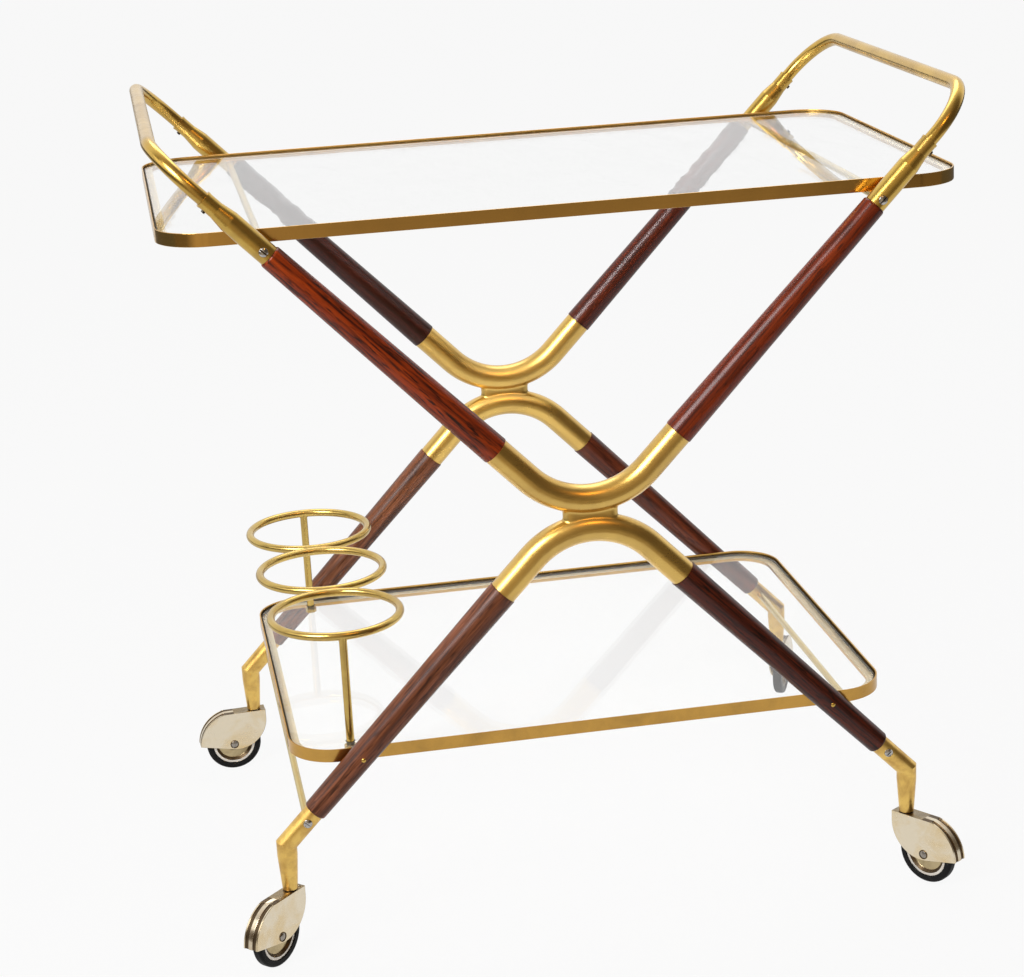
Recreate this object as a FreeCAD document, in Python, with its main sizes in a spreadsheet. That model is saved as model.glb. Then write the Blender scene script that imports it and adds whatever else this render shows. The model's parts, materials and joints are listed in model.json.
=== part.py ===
import FreeCAD, Part
import math
import os

import Sketcher

# A bar cart: two crossed side frames of wood and bent tube carry two glass trays, on four casters.
# Lengths are in millimetres. X runs along the cart, the near side faces -Y, Z points up.
# The origin is on the floor under the middle of the cart.

SIZES = [
    ("frame_spacing", 420, "distance between the middles of the two side frames"),
    ("leg_angle", 46, "slope of every leg in degrees"),
    ("bend_tube_diameter", 24.4, "bent centre tubes, outside"),
    ("bend_tube_wall", 1.5, "bent centre tubes, wall"),
    ("bend_radius", 71, "bent centre tubes, centre-line bend radius"),
    ("bend_straight", 39, "straight run of a bent tube beyond its bend"),
    ("bend_gap", 1.4, "gap between the two bent tubes of a side"),
    ("saddle_length", 47.5, "saddle block along the cart"),
    ("saddle_width", 13, "saddle block across the cart"),
    ("rod_length", 249, "visible length of a wood rod"),
    ("rod_thick_diameter", 25.6, "wood rod where it meets the bent tube"),
    ("rod_thin_diameter", 20.6, "wood rod at its outer end"),
    ("rod_end_round", 2.2, "rounding of the outer end of a rod"),
    ("rod_bend_tenon", 28, "tenon of a rod inside the bent tube"),
    ("rod_tip_tenon", 24, "tenon of a rod inside a ferrule or an elbow"),
    ("socket_diameter", 14, "bore that takes the outer tenon"),
    ("socket_end_gap", 1, "free depth at the end of every socket"),
    ("fit_clearance", 0.05, "radial clearance of fixed fits"),
    ("running_clearance", 0.05, "radial clearance of turning fits"),
    ("ferrule_diameter", 18.3, "ferrule barrel"),
    ("ferrule_barrel_length", 42, "ferrule barrel"),
    ("ferrule_cone_length", 13.5, "taper from the barrel to the neck"),
    ("ferrule_neck_diameter", 14.4, "ferrule neck"),
    ("ferrule_neck_length", 13.5, "ferrule neck"),
    ("ferrule_lip_diameter", 14.9, "raised lip at the end of the neck"),
    ("ferrule_lip_length", 2, "raised lip at the end of the neck"),
    ("handle_tube_diameter", 12, "handle tube, outside"),
    ("handle_tube_wall", 1.2, "handle tube, wall"),
    ("handle_bend_radius", 50, "handle tube, centre-line bend radius"),
    ("handle_reach", 54, "neck end to the middle of the handle bar"),
    ("handle_insert", 16, "handle tube inside the neck"),
    ("set_screw_diameter", 3.4, "set screw under each neck"),
    ("set_screw_stand", 1.3, "height of the set screw above the neck"),
    ("set_screw_setback", 7, "set screw axis from the end of the neck"),
    ("set_screw_slot_width", 0.7, "slot of the set screw"),
    ("set_screw_slot_depth", 0.8, "slot of the set screw"),
    ("elbow_diameter", 17.5, "foot elbow"),
    ("elbow_arm_length", 37.2, "rod end to the corner of the elbow"),
    ("elbow_stem_length", 41.6, "corner of the elbow to its foot"),
    ("elbow_shoulder_length", 10, "straight part of the stem under the corner"),
    ("elbow_foot_diameter", 13, "foot of the tapered stem"),
    ("stretcher_diameter", 6, "stretchers across the cart"),
    ("stretcher_bore_depth", 10, "screw bore in a stretcher end"),
    ("upper_stretcher_offset", 6.5, "upper stretcher axis beyond the rod end"),
    ("lower_stretcher_offset", 9.7, "lower stretcher axis beyond the rod end"),
    ("screw_diameter", 4, "shank of the stretcher screws"),
    ("screw_length", 15.5, "shank of the stretcher screws"),
    ("screw_head_diameter", 7.6, "head of the stretcher screws"),
    ("screw_head_edge", 0.9, "edge height of the screw head"),
    ("screw_head_height", 2, "full height of the screw head"),
    ("screw_slot_width", 1.1, "slot of the screw head"),
    ("screw_slot_depth", 1, "slot of the screw head"),
    ("screw_seat_depth", 0.95, "flat seat cut into ferrule or elbow"),
    ("screw_seat_margin", 0.2, "seat radius beyond the screw head"),
    ("top_tray_length", 677, "top rim, outside"),
    ("top_tray_side_gap", 7.85, "top rim to the ferrules"),
    ("lower_tray_length", 531, "lower rim, outside"),
    ("lower_tray_side_gap", 0.6, "lower rim to the rods at the pins"),
    ("lower_tray_height", 168, "underside of the lower rim above the floor"),
    ("rim_height", 11.4, "height of the tray rims"),
    ("rim_thickness", 1.2, "upright band of the rims"),
    ("rim_corner_radius", 42, "outside corner of the rims"),
    ("flange_width", 8.5, "inward flange under the glass"),
    ("flange_thickness", 3, "inward flange under the glass"),
    ("glass_thickness", 6.5, "tray glass"),
    ("glass_gap", 0.5, "glass edge to the rim band"),
    ("glass_edge_chamfer", 0.6, "ground edge of the glass"),
    ("tray_pin_rise", 8.2, "tray pin axis above the underside of the lower rim"),
    ("tray_pin_diameter", 3, "pins of the lower tray"),
    ("tray_pin_head_diameter", 3.8, "head of the tray pins"),
    ("tray_pin_head_height", 0.8, "head of the tray pins"),
    ("ring_wire_diameter", 7.4, "wire of the bottle rings"),
    ("ring_gap", 0.4, "gap between neighbouring bottle rings"),
    ("ring_row_margin", 16.2, "ring row to the rim band at front and back"),
    ("ring_row_inset", 52.5, "ring centres from the left end of the lower tray"),
    ("ring_height", 96.5, "ring centre plane above the lower glass"),
    ("post_diameter", 7, "posts under the ring row"),
    ("post_ring_gap", 0.05, "braze gap between post and ring"),
    ("post_nut_diameter", 11, "round nut of a post under the glass"),
    ("post_nut_height", 3, "round nut of a post under the glass"),
    ("post_tip", 1, "post below its nut"),
    ("wheel_diameter", 55, "caster wheel over the tyre"),
    ("wheel_trail", 23.5, "swivel axis to axle"),
    ("tyre_width", 9.4, "tyre"),
    ("tyre_depth", 6, "tyre section from the disc to the tread"),
    ("tyre_round", 2.6, "rounding of the tread edges"),
    ("disc_rim_width", 7.4, "wheel disc at its rim"),
    ("disc_web_thickness", 2.2, "wheel disc between hub and rim"),
    ("disc_rim_depth", 3, "rim of the wheel disc"),
    ("disc_hub_diameter", 12, "hub of the wheel disc"),
    ("disc_slope_run", 2.5, "radial width of the slopes of the dish"),
    ("hub_side_gap", 0.5, "hub to the hood cheek"),
    ("axle_diameter", 5, "axle rivet"),
    ("axle_head_diameter", 7.4, "heads of the axle rivet"),
    ("axle_head_height", 1.1, "heads of the axle rivet"),
    ("cheek_thickness", 1.6, "side cheeks of the hood"),
    ("cheek_gap", 1, "tyre to cheek"),
    ("hood_radius", 34.3, "crown of the hood around the axle"),
    ("hood_top", 33.4, "flat top of the hood above the axle"),
    ("hood_rear", 11, "rear edge of the hood behind the swivel axis"),
    ("hood_heel_height", 8.9, "upright rear edge of the hood"),
    ("hood_heel_radius", 30.5, "rounded lower edge of the cheeks"),
    ("hood_tip_slope", 12.2, "slope of the lower cheek edge toward the tip in degrees"),
    ("crown_thickness", 1.8, "crown strip between the cheeks"),
    ("crown_groove_depth", 0.7, "grooves beside the crown ridge"),
    ("crown_ridge_width", 4.4, "ridge along the crown"),
    ("plate_thickness", 2.5, "flat top of the hood"),
    ("collar_height", 0.6, "collar between hood and elbow"),
    ("collar_diameter", 12.4, "collar between hood and elbow"),
    ("thrust_gap", 0.3, "collar to elbow foot"),
    ("swivel_pin_diameter", 8, "swivel stem"),
    ("swivel_pin_length", 26, "swivel stem inside the elbow"),
    ("swivel_head_gap", 0.5, "riveted end of the stem to the cheeks"),
    ("swivel_head_height", 2, "riveted end of the stem under the hood"),
]

DERIVED = [
    ("bend_tube_radius", "bend_tube_diameter / 2"),
    ("bend_bore_radius", "bend_tube_radius - bend_tube_wall"),
    ("bend_offset", "bend_tube_radius + bend_gap / 2"),
    ("bend_run_x", "bend_radius * sin(leg_angle)"),
    ("bend_run_z", "bend_radius * (1 - cos(leg_angle))"),
    ("joint_x", "bend_run_x + bend_straight * cos(leg_angle)"),
    ("joint_rise", "bend_run_z + bend_straight * sin(leg_angle)"),
    ("joint_z", "bend_offset + joint_rise"),
    ("saddle_half_length", "saddle_length / 2"),
    ("saddle_half_straight", "(saddle_length - saddle_width) / 2"),
    ("saddle_half_width", "saddle_width / 2"),
    ("saddle_height", "2 * bend_offset"),
    ("saddle_bore_radius", "bend_tube_radius + fit_clearance"),
    ("bend_centre_height", "bend_offset + bend_radius"),
    ("rod_thick_radius", "rod_thick_diameter / 2"),
    ("rod_thin_radius", "rod_thin_diameter / 2"),
    ("rod_tip_round_radius", "rod_thin_radius - rod_end_round"),
    ("rod_round_start", "rod_length - rod_end_round"),
    ("rod_end", "rod_length + rod_tip_tenon"),
    ("bend_tenon_radius", "bend_bore_radius - fit_clearance"),
    ("socket_radius", "socket_diameter / 2"),
    ("tip_tenon_radius", "socket_radius - fit_clearance"),
    ("socket_depth", "rod_tip_tenon + socket_end_gap"),
    ("leg_end_x", "joint_x + rod_length * cos(leg_angle)"),
    ("leg_end_z", "joint_z + rod_length * sin(leg_angle)"),
    ("ferrule_radius", "ferrule_diameter / 2"),
    ("ferrule_neck_radius", "ferrule_neck_diameter / 2"),
    ("ferrule_lip_radius", "ferrule_lip_diameter / 2"),
    ("ferrule_neck_start", "ferrule_barrel_length + ferrule_cone_length"),
    ("ferrule_length", "ferrule_neck_start + ferrule_neck_length"),
    ("ferrule_lip_start", "ferrule_length - ferrule_lip_length"),
    ("handle_tube_radius", "handle_tube_diameter / 2"),
    ("handle_bore_radius", "handle_tube_radius - handle_tube_wall"),
    ("handle_socket_radius", "handle_tube_radius + fit_clearance"),
    ("handle_socket_start", "ferrule_length - handle_insert - socket_end_gap"),
    ("handle_half_straight", "frame_spacing / 2 - handle_bend_radius"),
    ("handle_half_width", "frame_spacing / 2"),
    ("handle_arm_end", "handle_reach + handle_insert"),
    ("set_screw_radius", "set_screw_diameter / 2"),
    ("set_screw_hole_radius", "set_screw_radius + fit_clearance"),
    ("set_screw_height", "ferrule_length - set_screw_setback"),
    ("set_screw_start", "handle_socket_radius"),
    ("set_screw_length", "ferrule_neck_radius + set_screw_stand - set_screw_start"),
    ("elbow_radius", "elbow_diameter / 2"),
    ("elbow_foot_radius", "elbow_foot_diameter / 2"),
    ("elbow_shoulder_x", "elbow_shoulder_length * cos(leg_angle)"),
    ("elbow_shoulder_z", "elbow_arm_length + elbow_shoulder_length * sin(leg_angle)"),
    ("elbow_foot_x", "elbow_stem_length * cos(leg_angle)"),
    ("elbow_foot_z", "elbow_arm_length + elbow_stem_length * sin(leg_angle)"),
    ("elbow_taper_length", "elbow_stem_length - elbow_shoulder_length"),
    ("corner_x", "leg_end_x + elbow_arm_length * cos(leg_angle)"),
    ("corner_z", "leg_end_z + elbow_arm_length * sin(leg_angle)"),
    ("axle_height", "wheel_diameter / 2"),
    ("hood_top_height", "axle_height + hood_top"),
    ("elbow_foot_height", "hood_top_height + collar_height + thrust_gap"),
    ("centre_height", "elbow_foot_height + elbow_stem_length + corner_z"),
    ("stretcher_radius", "stretcher_diameter / 2"),
    ("stretcher_hole_radius", "stretcher_radius + fit_clearance"),
    ("half_spacing", "frame_spacing / 2"),
    ("stretcher_bore_end", "half_spacing - stretcher_bore_depth"),
    ("screw_radius", "screw_diameter / 2"),
    ("screw_hole_radius", "screw_radius + fit_clearance"),
    ("screw_head_radius", "screw_head_diameter / 2"),
    ("screw_seat_radius", "screw_head_radius + screw_seat_margin"),
    ("screw_dome", "screw_head_height - screw_head_edge"),
    ("screw_dome_radius", "(screw_head_radius^2 + screw_dome^2) / (2 * screw_dome)"),
    ("ferrule_seat", "ferrule_radius - screw_seat_depth"),
    ("elbow_seat", "elbow_radius - screw_seat_depth"),
    ("upper_stretcher_x", "leg_end_x + upper_stretcher_offset * cos(leg_angle)"),
    ("upper_stretcher_height", "centre_height + leg_end_z + upper_stretcher_offset * sin(leg_angle)"),
    ("lower_stretcher_x", "leg_end_x + lower_stretcher_offset * cos(leg_angle)"),
    ("lower_stretcher_height", "centre_height - leg_end_z - lower_stretcher_offset * sin(leg_angle)"),
    ("top_tray_height", "upper_stretcher_height + stretcher_radius"),
    ("top_outer_half_length", "top_tray_length / 2"),
    ("top_outer_half_depth", "half_spacing - ferrule_radius - top_tray_side_gap"),
    ("tray_pin_height", "lower_tray_height + tray_pin_rise"),
    ("tray_pin_distance", "(centre_height - joint_z - tray_pin_height) / sin(leg_angle)"),
    ("tray_pin_x", "joint_x + tray_pin_distance * cos(leg_angle)"),
    ("rod_taper", "(rod_thick_radius - rod_thin_radius) / rod_length"),
    ("tray_pin_rod_radius", "rod_thick_radius - rod_taper * tray_pin_distance"),
    ("tray_pin_seat", "tray_pin_rod_radius + rod_taper * tray_pin_head_diameter / 2"),
    ("lower_outer_half_length", "lower_tray_length / 2"),
    ("lower_outer_half_depth", "half_spacing - tray_pin_rod_radius - lower_tray_side_gap"),
    ("tray_pin_radius", "tray_pin_diameter / 2"),
    ("tray_pin_hole_radius", "tray_pin_radius + fit_clearance"),
    ("tray_pin_head_radius", "tray_pin_head_diameter / 2"),
    ("tray_pin_length", "tray_pin_seat + tray_pin_rod_radius + lower_tray_side_gap + rim_thickness"),
    ("tray_pin_dome_radius", "(tray_pin_head_radius^2 + tray_pin_head_height^2) / (2 * tray_pin_head_height)"),
    ("glass_height", "flange_thickness + glass_thickness"),
    ("rim_inner_radius", "rim_corner_radius - rim_thickness"),
    ("rim_opening_radius", "rim_inner_radius - flange_width"),
    ("glass_corner_radius", "rim_inner_radius - glass_gap"),
    ("lower_glass_top", "lower_tray_height + glass_height"),
    ("ring_row_half_depth", "lower_outer_half_depth - rim_thickness - ring_row_margin"),
    ("ring_outer_diameter", "(2 * ring_row_half_depth - 2 * ring_gap) / 3"),
    ("ring_wire_radius", "ring_wire_diameter / 2"),
    ("ring_mean_radius", "ring_outer_diameter / 2 - ring_wire_radius"),
    ("ring_pitch", "ring_outer_diameter + ring_gap"),
    ("ring_x", "lower_outer_half_length - ring_row_inset"),
    ("ring_plane_height", "lower_glass_top + ring_height"),
    ("post_radius", "post_diameter / 2"),
    ("post_y", "ring_pitch + ring_mean_radius"),
    ("post_cope_radius", "ring_wire_radius + post_ring_gap"),
    ("post_hole_radius", "post_radius + fit_clearance"),
    ("post_nut_radius", "post_nut_diameter / 2"),
    ("lower_glass_bottom", "lower_tray_height + flange_thickness"),
    ("post_nut_bottom", "lower_glass_bottom - post_nut_height"),
    ("post_bottom", "post_nut_bottom - post_tip"),
    ("post_length", "ring_plane_height - post_bottom"),
    ("tyre_radius", "wheel_diameter / 2"),
    ("tyre_half_width", "tyre_width / 2"),
    ("tyre_tread_half", "tyre_half_width - tyre_round"),
    ("tyre_side_radius", "tyre_radius - tyre_round"),
    ("tyre_bore_radius", "tyre_radius - tyre_depth"),
    ("disc_radius", "tyre_bore_radius - fit_clearance"),
    ("disc_rim_half", "disc_rim_width / 2"),
    ("disc_rim_inner", "disc_radius - disc_rim_depth"),
    ("disc_web_half", "disc_web_thickness / 2"),
    ("disc_hub_radius", "disc_hub_diameter / 2"),
    ("dish_inner", "disc_hub_radius + disc_slope_run"),
    ("dish_outer", "disc_rim_inner - disc_slope_run"),
    ("slot_half_width", "tyre_half_width + cheek_gap"),
    ("hub_half_width", "slot_half_width - hub_side_gap"),
    ("axle_radius", "axle_diameter / 2"),
    ("axle_hub_bore_radius", "axle_radius + running_clearance"),
    ("axle_cheek_bore_radius", "axle_radius + fit_clearance"),
    ("axle_head_radius", "axle_head_diameter / 2"),
    ("axle_dome_radius", "(axle_head_radius^2 + axle_head_height^2) / (2 * axle_head_height)"),
    ("hood_half_width", "slot_half_width + cheek_thickness"),
    ("axle_end", "hood_half_width + axle_head_height"),
    ("hood_width", "2 * hood_half_width"),
    ("slot_width", "2 * slot_half_width"),
    ("hood_rear_x", "wheel_trail + hood_rear"),
    ("hood_front_x", "sqrt(hood_radius^2 - hood_top^2)"),
    ("heel_centre_x", "hood_heel_radius - hood_rear_x"),
    ("heel_z", "hood_top - hood_heel_height"),
    ("heel_end_x", "heel_centre_x + hood_heel_radius * sin(hood_tip_slope)"),
    ("heel_drop", "hood_heel_radius * cos(hood_tip_slope) - heel_z"),
    ("tip_along", "heel_end_x * cos(hood_tip_slope) - heel_drop * sin(hood_tip_slope)"),
    ("tip_run", "sqrt(tip_along^2 - heel_end_x^2 - heel_drop^2 + hood_radius^2) - tip_along"),
    ("tip_x", "heel_end_x + tip_run * cos(hood_tip_slope)"),
    ("tip_z", "tip_run * sin(hood_tip_slope) - heel_drop"),
    ("slot_radius", "hood_radius - crown_thickness"),
    ("slot_top", "hood_top - plate_thickness"),
    ("slot_front_x", "sqrt(slot_radius^2 - slot_top^2)"),
    ("slot_tip_x", "tip_x * slot_radius / hood_radius"),
    ("slot_tip_z", "tip_z * slot_radius / hood_radius"),
    ("groove_radius", "hood_radius - crown_groove_depth"),
    ("groove_top", "sqrt(groove_radius^2 - hood_front_x^2)"),
    ("groove_width", "slot_half_width - crown_ridge_width / 2"),
    ("groove_middle", "(slot_half_width + crown_ridge_width / 2) / 2"),
    ("swivel_pin_radius", "swivel_pin_diameter / 2"),
    ("swivel_hood_bore_radius", "swivel_pin_radius + fit_clearance"),
    ("swivel_elbow_bore_radius", "swivel_pin_radius + running_clearance"),
    ("swivel_bore_depth", "swivel_pin_length - thrust_gap + socket_end_gap"),
    ("swivel_head_radius", "slot_half_width - swivel_head_gap"),
    ("swivel_head_bottom", "plate_thickness + swivel_head_height"),
    ("collar_radius", "collar_diameter / 2"),
    ("swivel_pin_end", "collar_height + swivel_pin_length"),
    ("cutter_reach", "2 * ferrule_diameter + 2 * elbow_diameter"),
]

for tray in ("top", "lower"):
    for axis, half in (("x", "half_length"), ("y", "half_depth")):
        DERIVED.append((f"{tray}_straight_{axis}", f"{tray}_outer_{half} - rim_corner_radius"))
        DERIVED.append((f"{tray}_inner_{half}", f"{tray}_outer_{half} - rim_thickness"))
        DERIVED.append((f"{tray}_opening_{half}", f"{tray}_inner_{half} - flange_width"))
        DERIVED.append((f"{tray}_glass_{half}", f"{tray}_inner_{half} - glass_gap"))

# Direction in degrees from +X in which each caster trails, as the cart stands.
CASTER_YAW = {
    ("front", "left"): 226,
    ("front", "right"): -55,
    ("back", "left"): 184,
    ("back", "right"): 64,
}
SIDES = {"left": -1, "right": 1}
ENDS = {"front": -1, "back": 1}
LEVELS = {"lower": -1, "upper": 1}

doc = FreeCAD.newDocument("BarCart")
sheet = doc.addObject("Spreadsheet::Sheet", "Sizes")
finished = []


def fill_sheet():
    """Writes every size and every value worked out from the sizes into the sheet."""
    for row, (alias, size, note) in enumerate(SIZES, start=1):
        sheet.set(f"A{row}", note)
        sheet.set(f"B{row}", str(size))
        sheet.setAlias(f"B{row}", alias)
    for row, (alias, formula) in enumerate(DERIVED, start=len(SIZES) + 1):
        sheet.set(f"B{row}", "=" + formula)
        sheet.setAlias(f"B{row}", alias)
    doc.recompute()


def number(name):
    """The sheet's value for a name; a leading minus gives the negative, 0 stays 0."""
    if name == 0:
        return 0.0
    if name.startswith("-"):
        return -float(sheet.get(name[1:]))
    return float(sheet.get(name))


def bind(item, **sizes):
    """Ties properties of a document object to sheet values."""
    for prop, name in sizes.items():
        item.setExpression(prop, f"Sizes.{name}")


def finish(item, label, placement):
    """Marks a document object as one of the cart's pieces and puts it in place."""
    item.Label = label
    item.Placement = placement
    finished.append(item)
    return item


def plane(body, role):
    return next(item for item in body.Origin.OriginFeatures if item.Role == role)


def new_sketch(body, role, name):
    sketch = body.newObject("Sketcher::SketchObject", name)
    sketch.AttachmentSupport = [(plane(body, role), "")]
    sketch.MapMode = "FlatFace"
    return sketch


def constrain(sketch, kind, *targets, name):
    """Adds a dimension to a sketch and ties it to the sheet."""
    index = sketch.addConstraint(Sketcher.Constraint(kind, *targets, number(name)))
    sketch.setExpression(f"Constraints[{index}]", f"Sizes.{name}")


def pin_point(sketch, geometry, position, x, y):
    """Holds a sketch point at x, y: sheet names, with a leading minus for the negative side, or 0."""
    for kind, name, axis in (("DistanceX", x, -2), ("DistanceY", y, -1)):
        if name == 0:
            sketch.addConstraint(Sketcher.Constraint("PointOnObject", geometry, position, axis))
        elif name.startswith("-"):
            constrain(sketch, kind, geometry, position, -1, 1, name=name[1:])
        else:
            constrain(sketch, kind, -1, 1, geometry, position, name=name)


def add_side(sketch, here, there, bulge):
    """Adds one side of an outline; returns its index and which of its ends comes first and last."""
    if bulge is None:
        return sketch.addGeometry(Part.LineSegment(here, there), False), 1, 2
    radius, turn = number(bulge[0]), bulge[1]
    chord = there - here
    across = FreeCAD.Vector(-chord.y, chord.x, 0).normalize()
    half = chord.Length / 2
    centre = here + chord / 2 + across * (turn * math.sqrt(max(radius**2 - half**2, 0)))
    first, last = (here, there) if turn > 0 else (there, here)
    begin = math.atan2(first.y - centre.y, first.x - centre.x)
    end = math.atan2(last.y - centre.y, last.x - centre.x)
    if end <= begin:
        end += 2 * math.pi
    circle = Part.Circle(centre, FreeCAD.Vector(0, 0, 1), radius)
    index = sketch.addGeometry(Part.ArcOfCircle(circle, begin, end), False)
    constrain(sketch, "Radius", index, name=bulge[0])
    return (index, 1, 2) if turn > 0 else (index, 2, 1)


def draw(sketch, corners, closed=True):
    """Draws sides through corners (x, y) or (x, y, radius, turn): an arc leaves the corner, turn 1 to the left."""
    spots = [FreeCAD.Vector(number(corner[0]), number(corner[1]), 0) for corner in corners]
    sides = []
    last = len(corners) if closed else len(corners) - 1
    for index in range(last):
        bulge = corners[index][2:] or None
        sides.append(add_side(sketch, spots[index], spots[(index + 1) % len(spots)], bulge))
    for index, (side, start, end) in enumerate(sides):
        pin_point(sketch, side, start, *corners[index][:2])
        if closed or index + 1 < len(sides):
            follower, follower_start, _ = sides[(index + 1) % len(sides)]
            sketch.addConstraint(Sketcher.Constraint("Coincident", side, end, follower, follower_start))
        else:
            pin_point(sketch, side, end, *corners[-1][:2])


def draw_circle(sketch, radius, x=0, y=0):
    centre = FreeCAD.Vector(number(x), number(y), 0)
    circle = sketch.addGeometry(Part.Circle(centre, FreeCAD.Vector(0, 0, 1), number(radius)), False)
    pin_point(sketch, circle, 3, x, y)
    constrain(sketch, "Radius", circle, name=radius)


def draw_rounded_rectangle(sketch, half_length, half_depth, straight_x, straight_y, radius):
    """A rectangle around the origin; straight_x and straight_y are where its corner arcs begin."""
    draw(sketch, [
        ("-" + straight_x, "-" + half_depth),
        (straight_x, "-" + half_depth, radius, 1),
        (half_length, "-" + straight_y),
        (half_length, straight_y, radius, 1),
        (straight_x, half_depth),
        ("-" + straight_x, half_depth, radius, 1),
        ("-" + half_length, straight_y),
        ("-" + half_length, "-" + straight_y, radius, 1),
    ])


def new_body(name):
    return doc.addObject("PartDesign::Body", name)


def add_turned(body, role, corners, name="Turned"):
    """A solid of revolution about the upright axis of a sketch on the given plane."""
    sketch = new_sketch(body, role, name + "Profile")
    draw(sketch, corners)
    turned = body.newObject("PartDesign::Revolution", name)
    turned.Profile = sketch
    turned.ReferenceAxis = (sketch, ["V_Axis"])
    turned.Angle = 360
    return turned


def add_pad(body, sketch, length, centred=False):
    pad = body.newObject("PartDesign::Pad", "Pad")
    pad.Profile = sketch
    pad.Midplane = centred
    bind(pad, Length=length)
    return pad


def add_tube(body, profile_role, spine_role, radii, path):
    """A tube along an open path, mirrored at the plane of its profile."""
    profile = new_sketch(body, profile_role, "TubeProfile")
    for radius in radii:
        draw_circle(profile, radius)
    spine = new_sketch(body, spine_role, "TubeSpine")
    draw(spine, path, closed=False)
    doc.recompute()
    tube = body.newObject("PartDesign::AdditivePipe", "Tube")
    tube.Profile = profile
    tube.Spine = (spine, [f"Edge{index + 1}" for index in range(len(path) - 1)])
    mirrored = body.newObject("PartDesign::Mirrored", "MirroredTube")
    mirrored.Originals = [tube]
    mirrored.MirrorPlane = (plane(body, profile_role), [""])
    body.Tip = mirrored


def cylinder(radius, height, base, direction):
    """A cylinder bound to the sheet, standing on base along direction."""
    item = doc.addObject("Part::Cylinder", "Cylinder")
    bind(item, Radius=radius, Height=height)
    item.Placement = FreeCAD.Placement(base, FreeCAD.Rotation(UP, direction))
    return item


def cut(base, tools):
    """The base with all tools taken away."""
    tool = tools[0]
    if len(tools) > 1:
        tool = doc.addObject("Part::Compound", "Tools")
        tool.Links = tools
    result = doc.addObject("Part::Cut", "Cut")
    result.Base = base
    result.Tool = tool
    return result


def group(label, pattern, placements):
    """Like pieces in one node: copies of a finished pattern at the given places."""
    doc.recompute()
    item = doc.addObject("Part::Feature", "Group")
    item.Shape = Part.makeCompound([moved(pattern.Shape, placement) for placement in placements])
    finish(item, label, FreeCAD.Placement())


def moved(shape, placement):
    copy = shape.copy()
    copy.Placement = placement
    return copy


UP = FreeCAD.Vector(0, 0, 1)
fill_sheet()
SINE = math.sin(math.radians(number("leg_angle")))
COSINE = math.cos(math.radians(number("leg_angle")))


def leg_placement(side, end, level, distance, measured_from="leg_end"):
    """Frame on a leg: Z runs outward along it, X lies in the side frame, and the origin is at the distance
    beyond the rod's outer end or, with measured_from "joint", beyond its inner end."""
    outward = FreeCAD.Vector(side * COSINE, 0, level * SINE)
    facing = FreeCAD.Vector(side * SINE, 0, -level * COSINE)
    base = FreeCAD.Vector(
        side * number(measured_from + "_x"),
        end * number("half_spacing"),
        number("centre_height") + level * number(measured_from + "_z"),
    )
    rotation = FreeCAD.Rotation(facing, outward.cross(facing), outward, "ZXY")
    return FreeCAD.Placement(base + outward * distance, rotation)


def inward(side, end, level):
    """Direction toward the middle of the cart in the frame of a leg."""
    return FreeCAD.Vector(0, -side * end * level, 0)


def stretcher_cutters(side, end, level, offset, seat):
    """Cutters along Y for a stretcher end, its screw and the screw seat, in the frame of a leg."""
    inside = inward(side, end, level)
    axis = UP * number(offset)
    tools = [
        cylinder("stretcher_hole_radius", "cutter_reach", axis, inside),
        cylinder("screw_hole_radius", "cutter_reach", axis, -inside),
    ]
    if seat:
        tools.append(cylinder("screw_seat_radius", "cutter_reach", axis - inside * number(seat), -inside))
    return tools


def make_rod(side_name, end_name, level_name):
    side, end, level = SIDES[side_name], ENDS[end_name], LEVELS[level_name]
    body = new_body("Rod")
    add_turned(body, "XZ_Plane", [
        (0, "-rod_bend_tenon"),
        ("bend_tenon_radius", "-rod_bend_tenon"),
        ("bend_tenon_radius", 0),
        ("rod_thick_radius", 0),
        ("rod_thin_radius", "rod_round_start", "rod_end_round", 1),
        ("rod_tip_round_radius", "rod_length"),
        ("tip_tenon_radius", "rod_length"),
        ("tip_tenon_radius", "rod_end"),
        (0, "rod_end"),
    ])
    tip = UP * number("rod_length")
    tools = stretcher_cutters(side, end, level, level_name + "_stretcher_offset", None)
    for tool in tools:
        tool.Placement.Base = tool.Placement.Base + tip
    if level_name == "lower":
        inside = inward(side, end, level)
        start = UP * number("tray_pin_distance") - inside * number("rod_thick_diameter")
        tools.append(cylinder("tray_pin_hole_radius", "cutter_reach", start, inside))
    finish(cut(body, tools), f"{end_name}_{side_name}_{level_name}_rod",
           leg_placement(side, end, level, 0, "joint"))


def make_bend(end_name, level_name):
    """A bent tube; the upper one of a side opens upward, the lower one downward."""
    end, level = ENDS[end_name], LEVELS[level_name]
    body = new_body("Bend")
    add_tube(body, "YZ_Plane", "XZ_Plane", ["bend_tube_radius", "bend_bore_radius"], [
        (0, 0, "bend_radius", 1),
        ("bend_run_x", "bend_run_z"),
        ("joint_x", "joint_rise"),
    ])
    base = FreeCAD.Vector(0, end * number("half_spacing"),
                          number("centre_height") + level * number("bend_offset"))
    rotation = FreeCAD.Rotation(FreeCAD.Vector(0, 1, 0), 0 if level > 0 else 180)
    finish(body, f"{end_name}_{level_name}_bend", FreeCAD.Placement(base, rotation))


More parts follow.
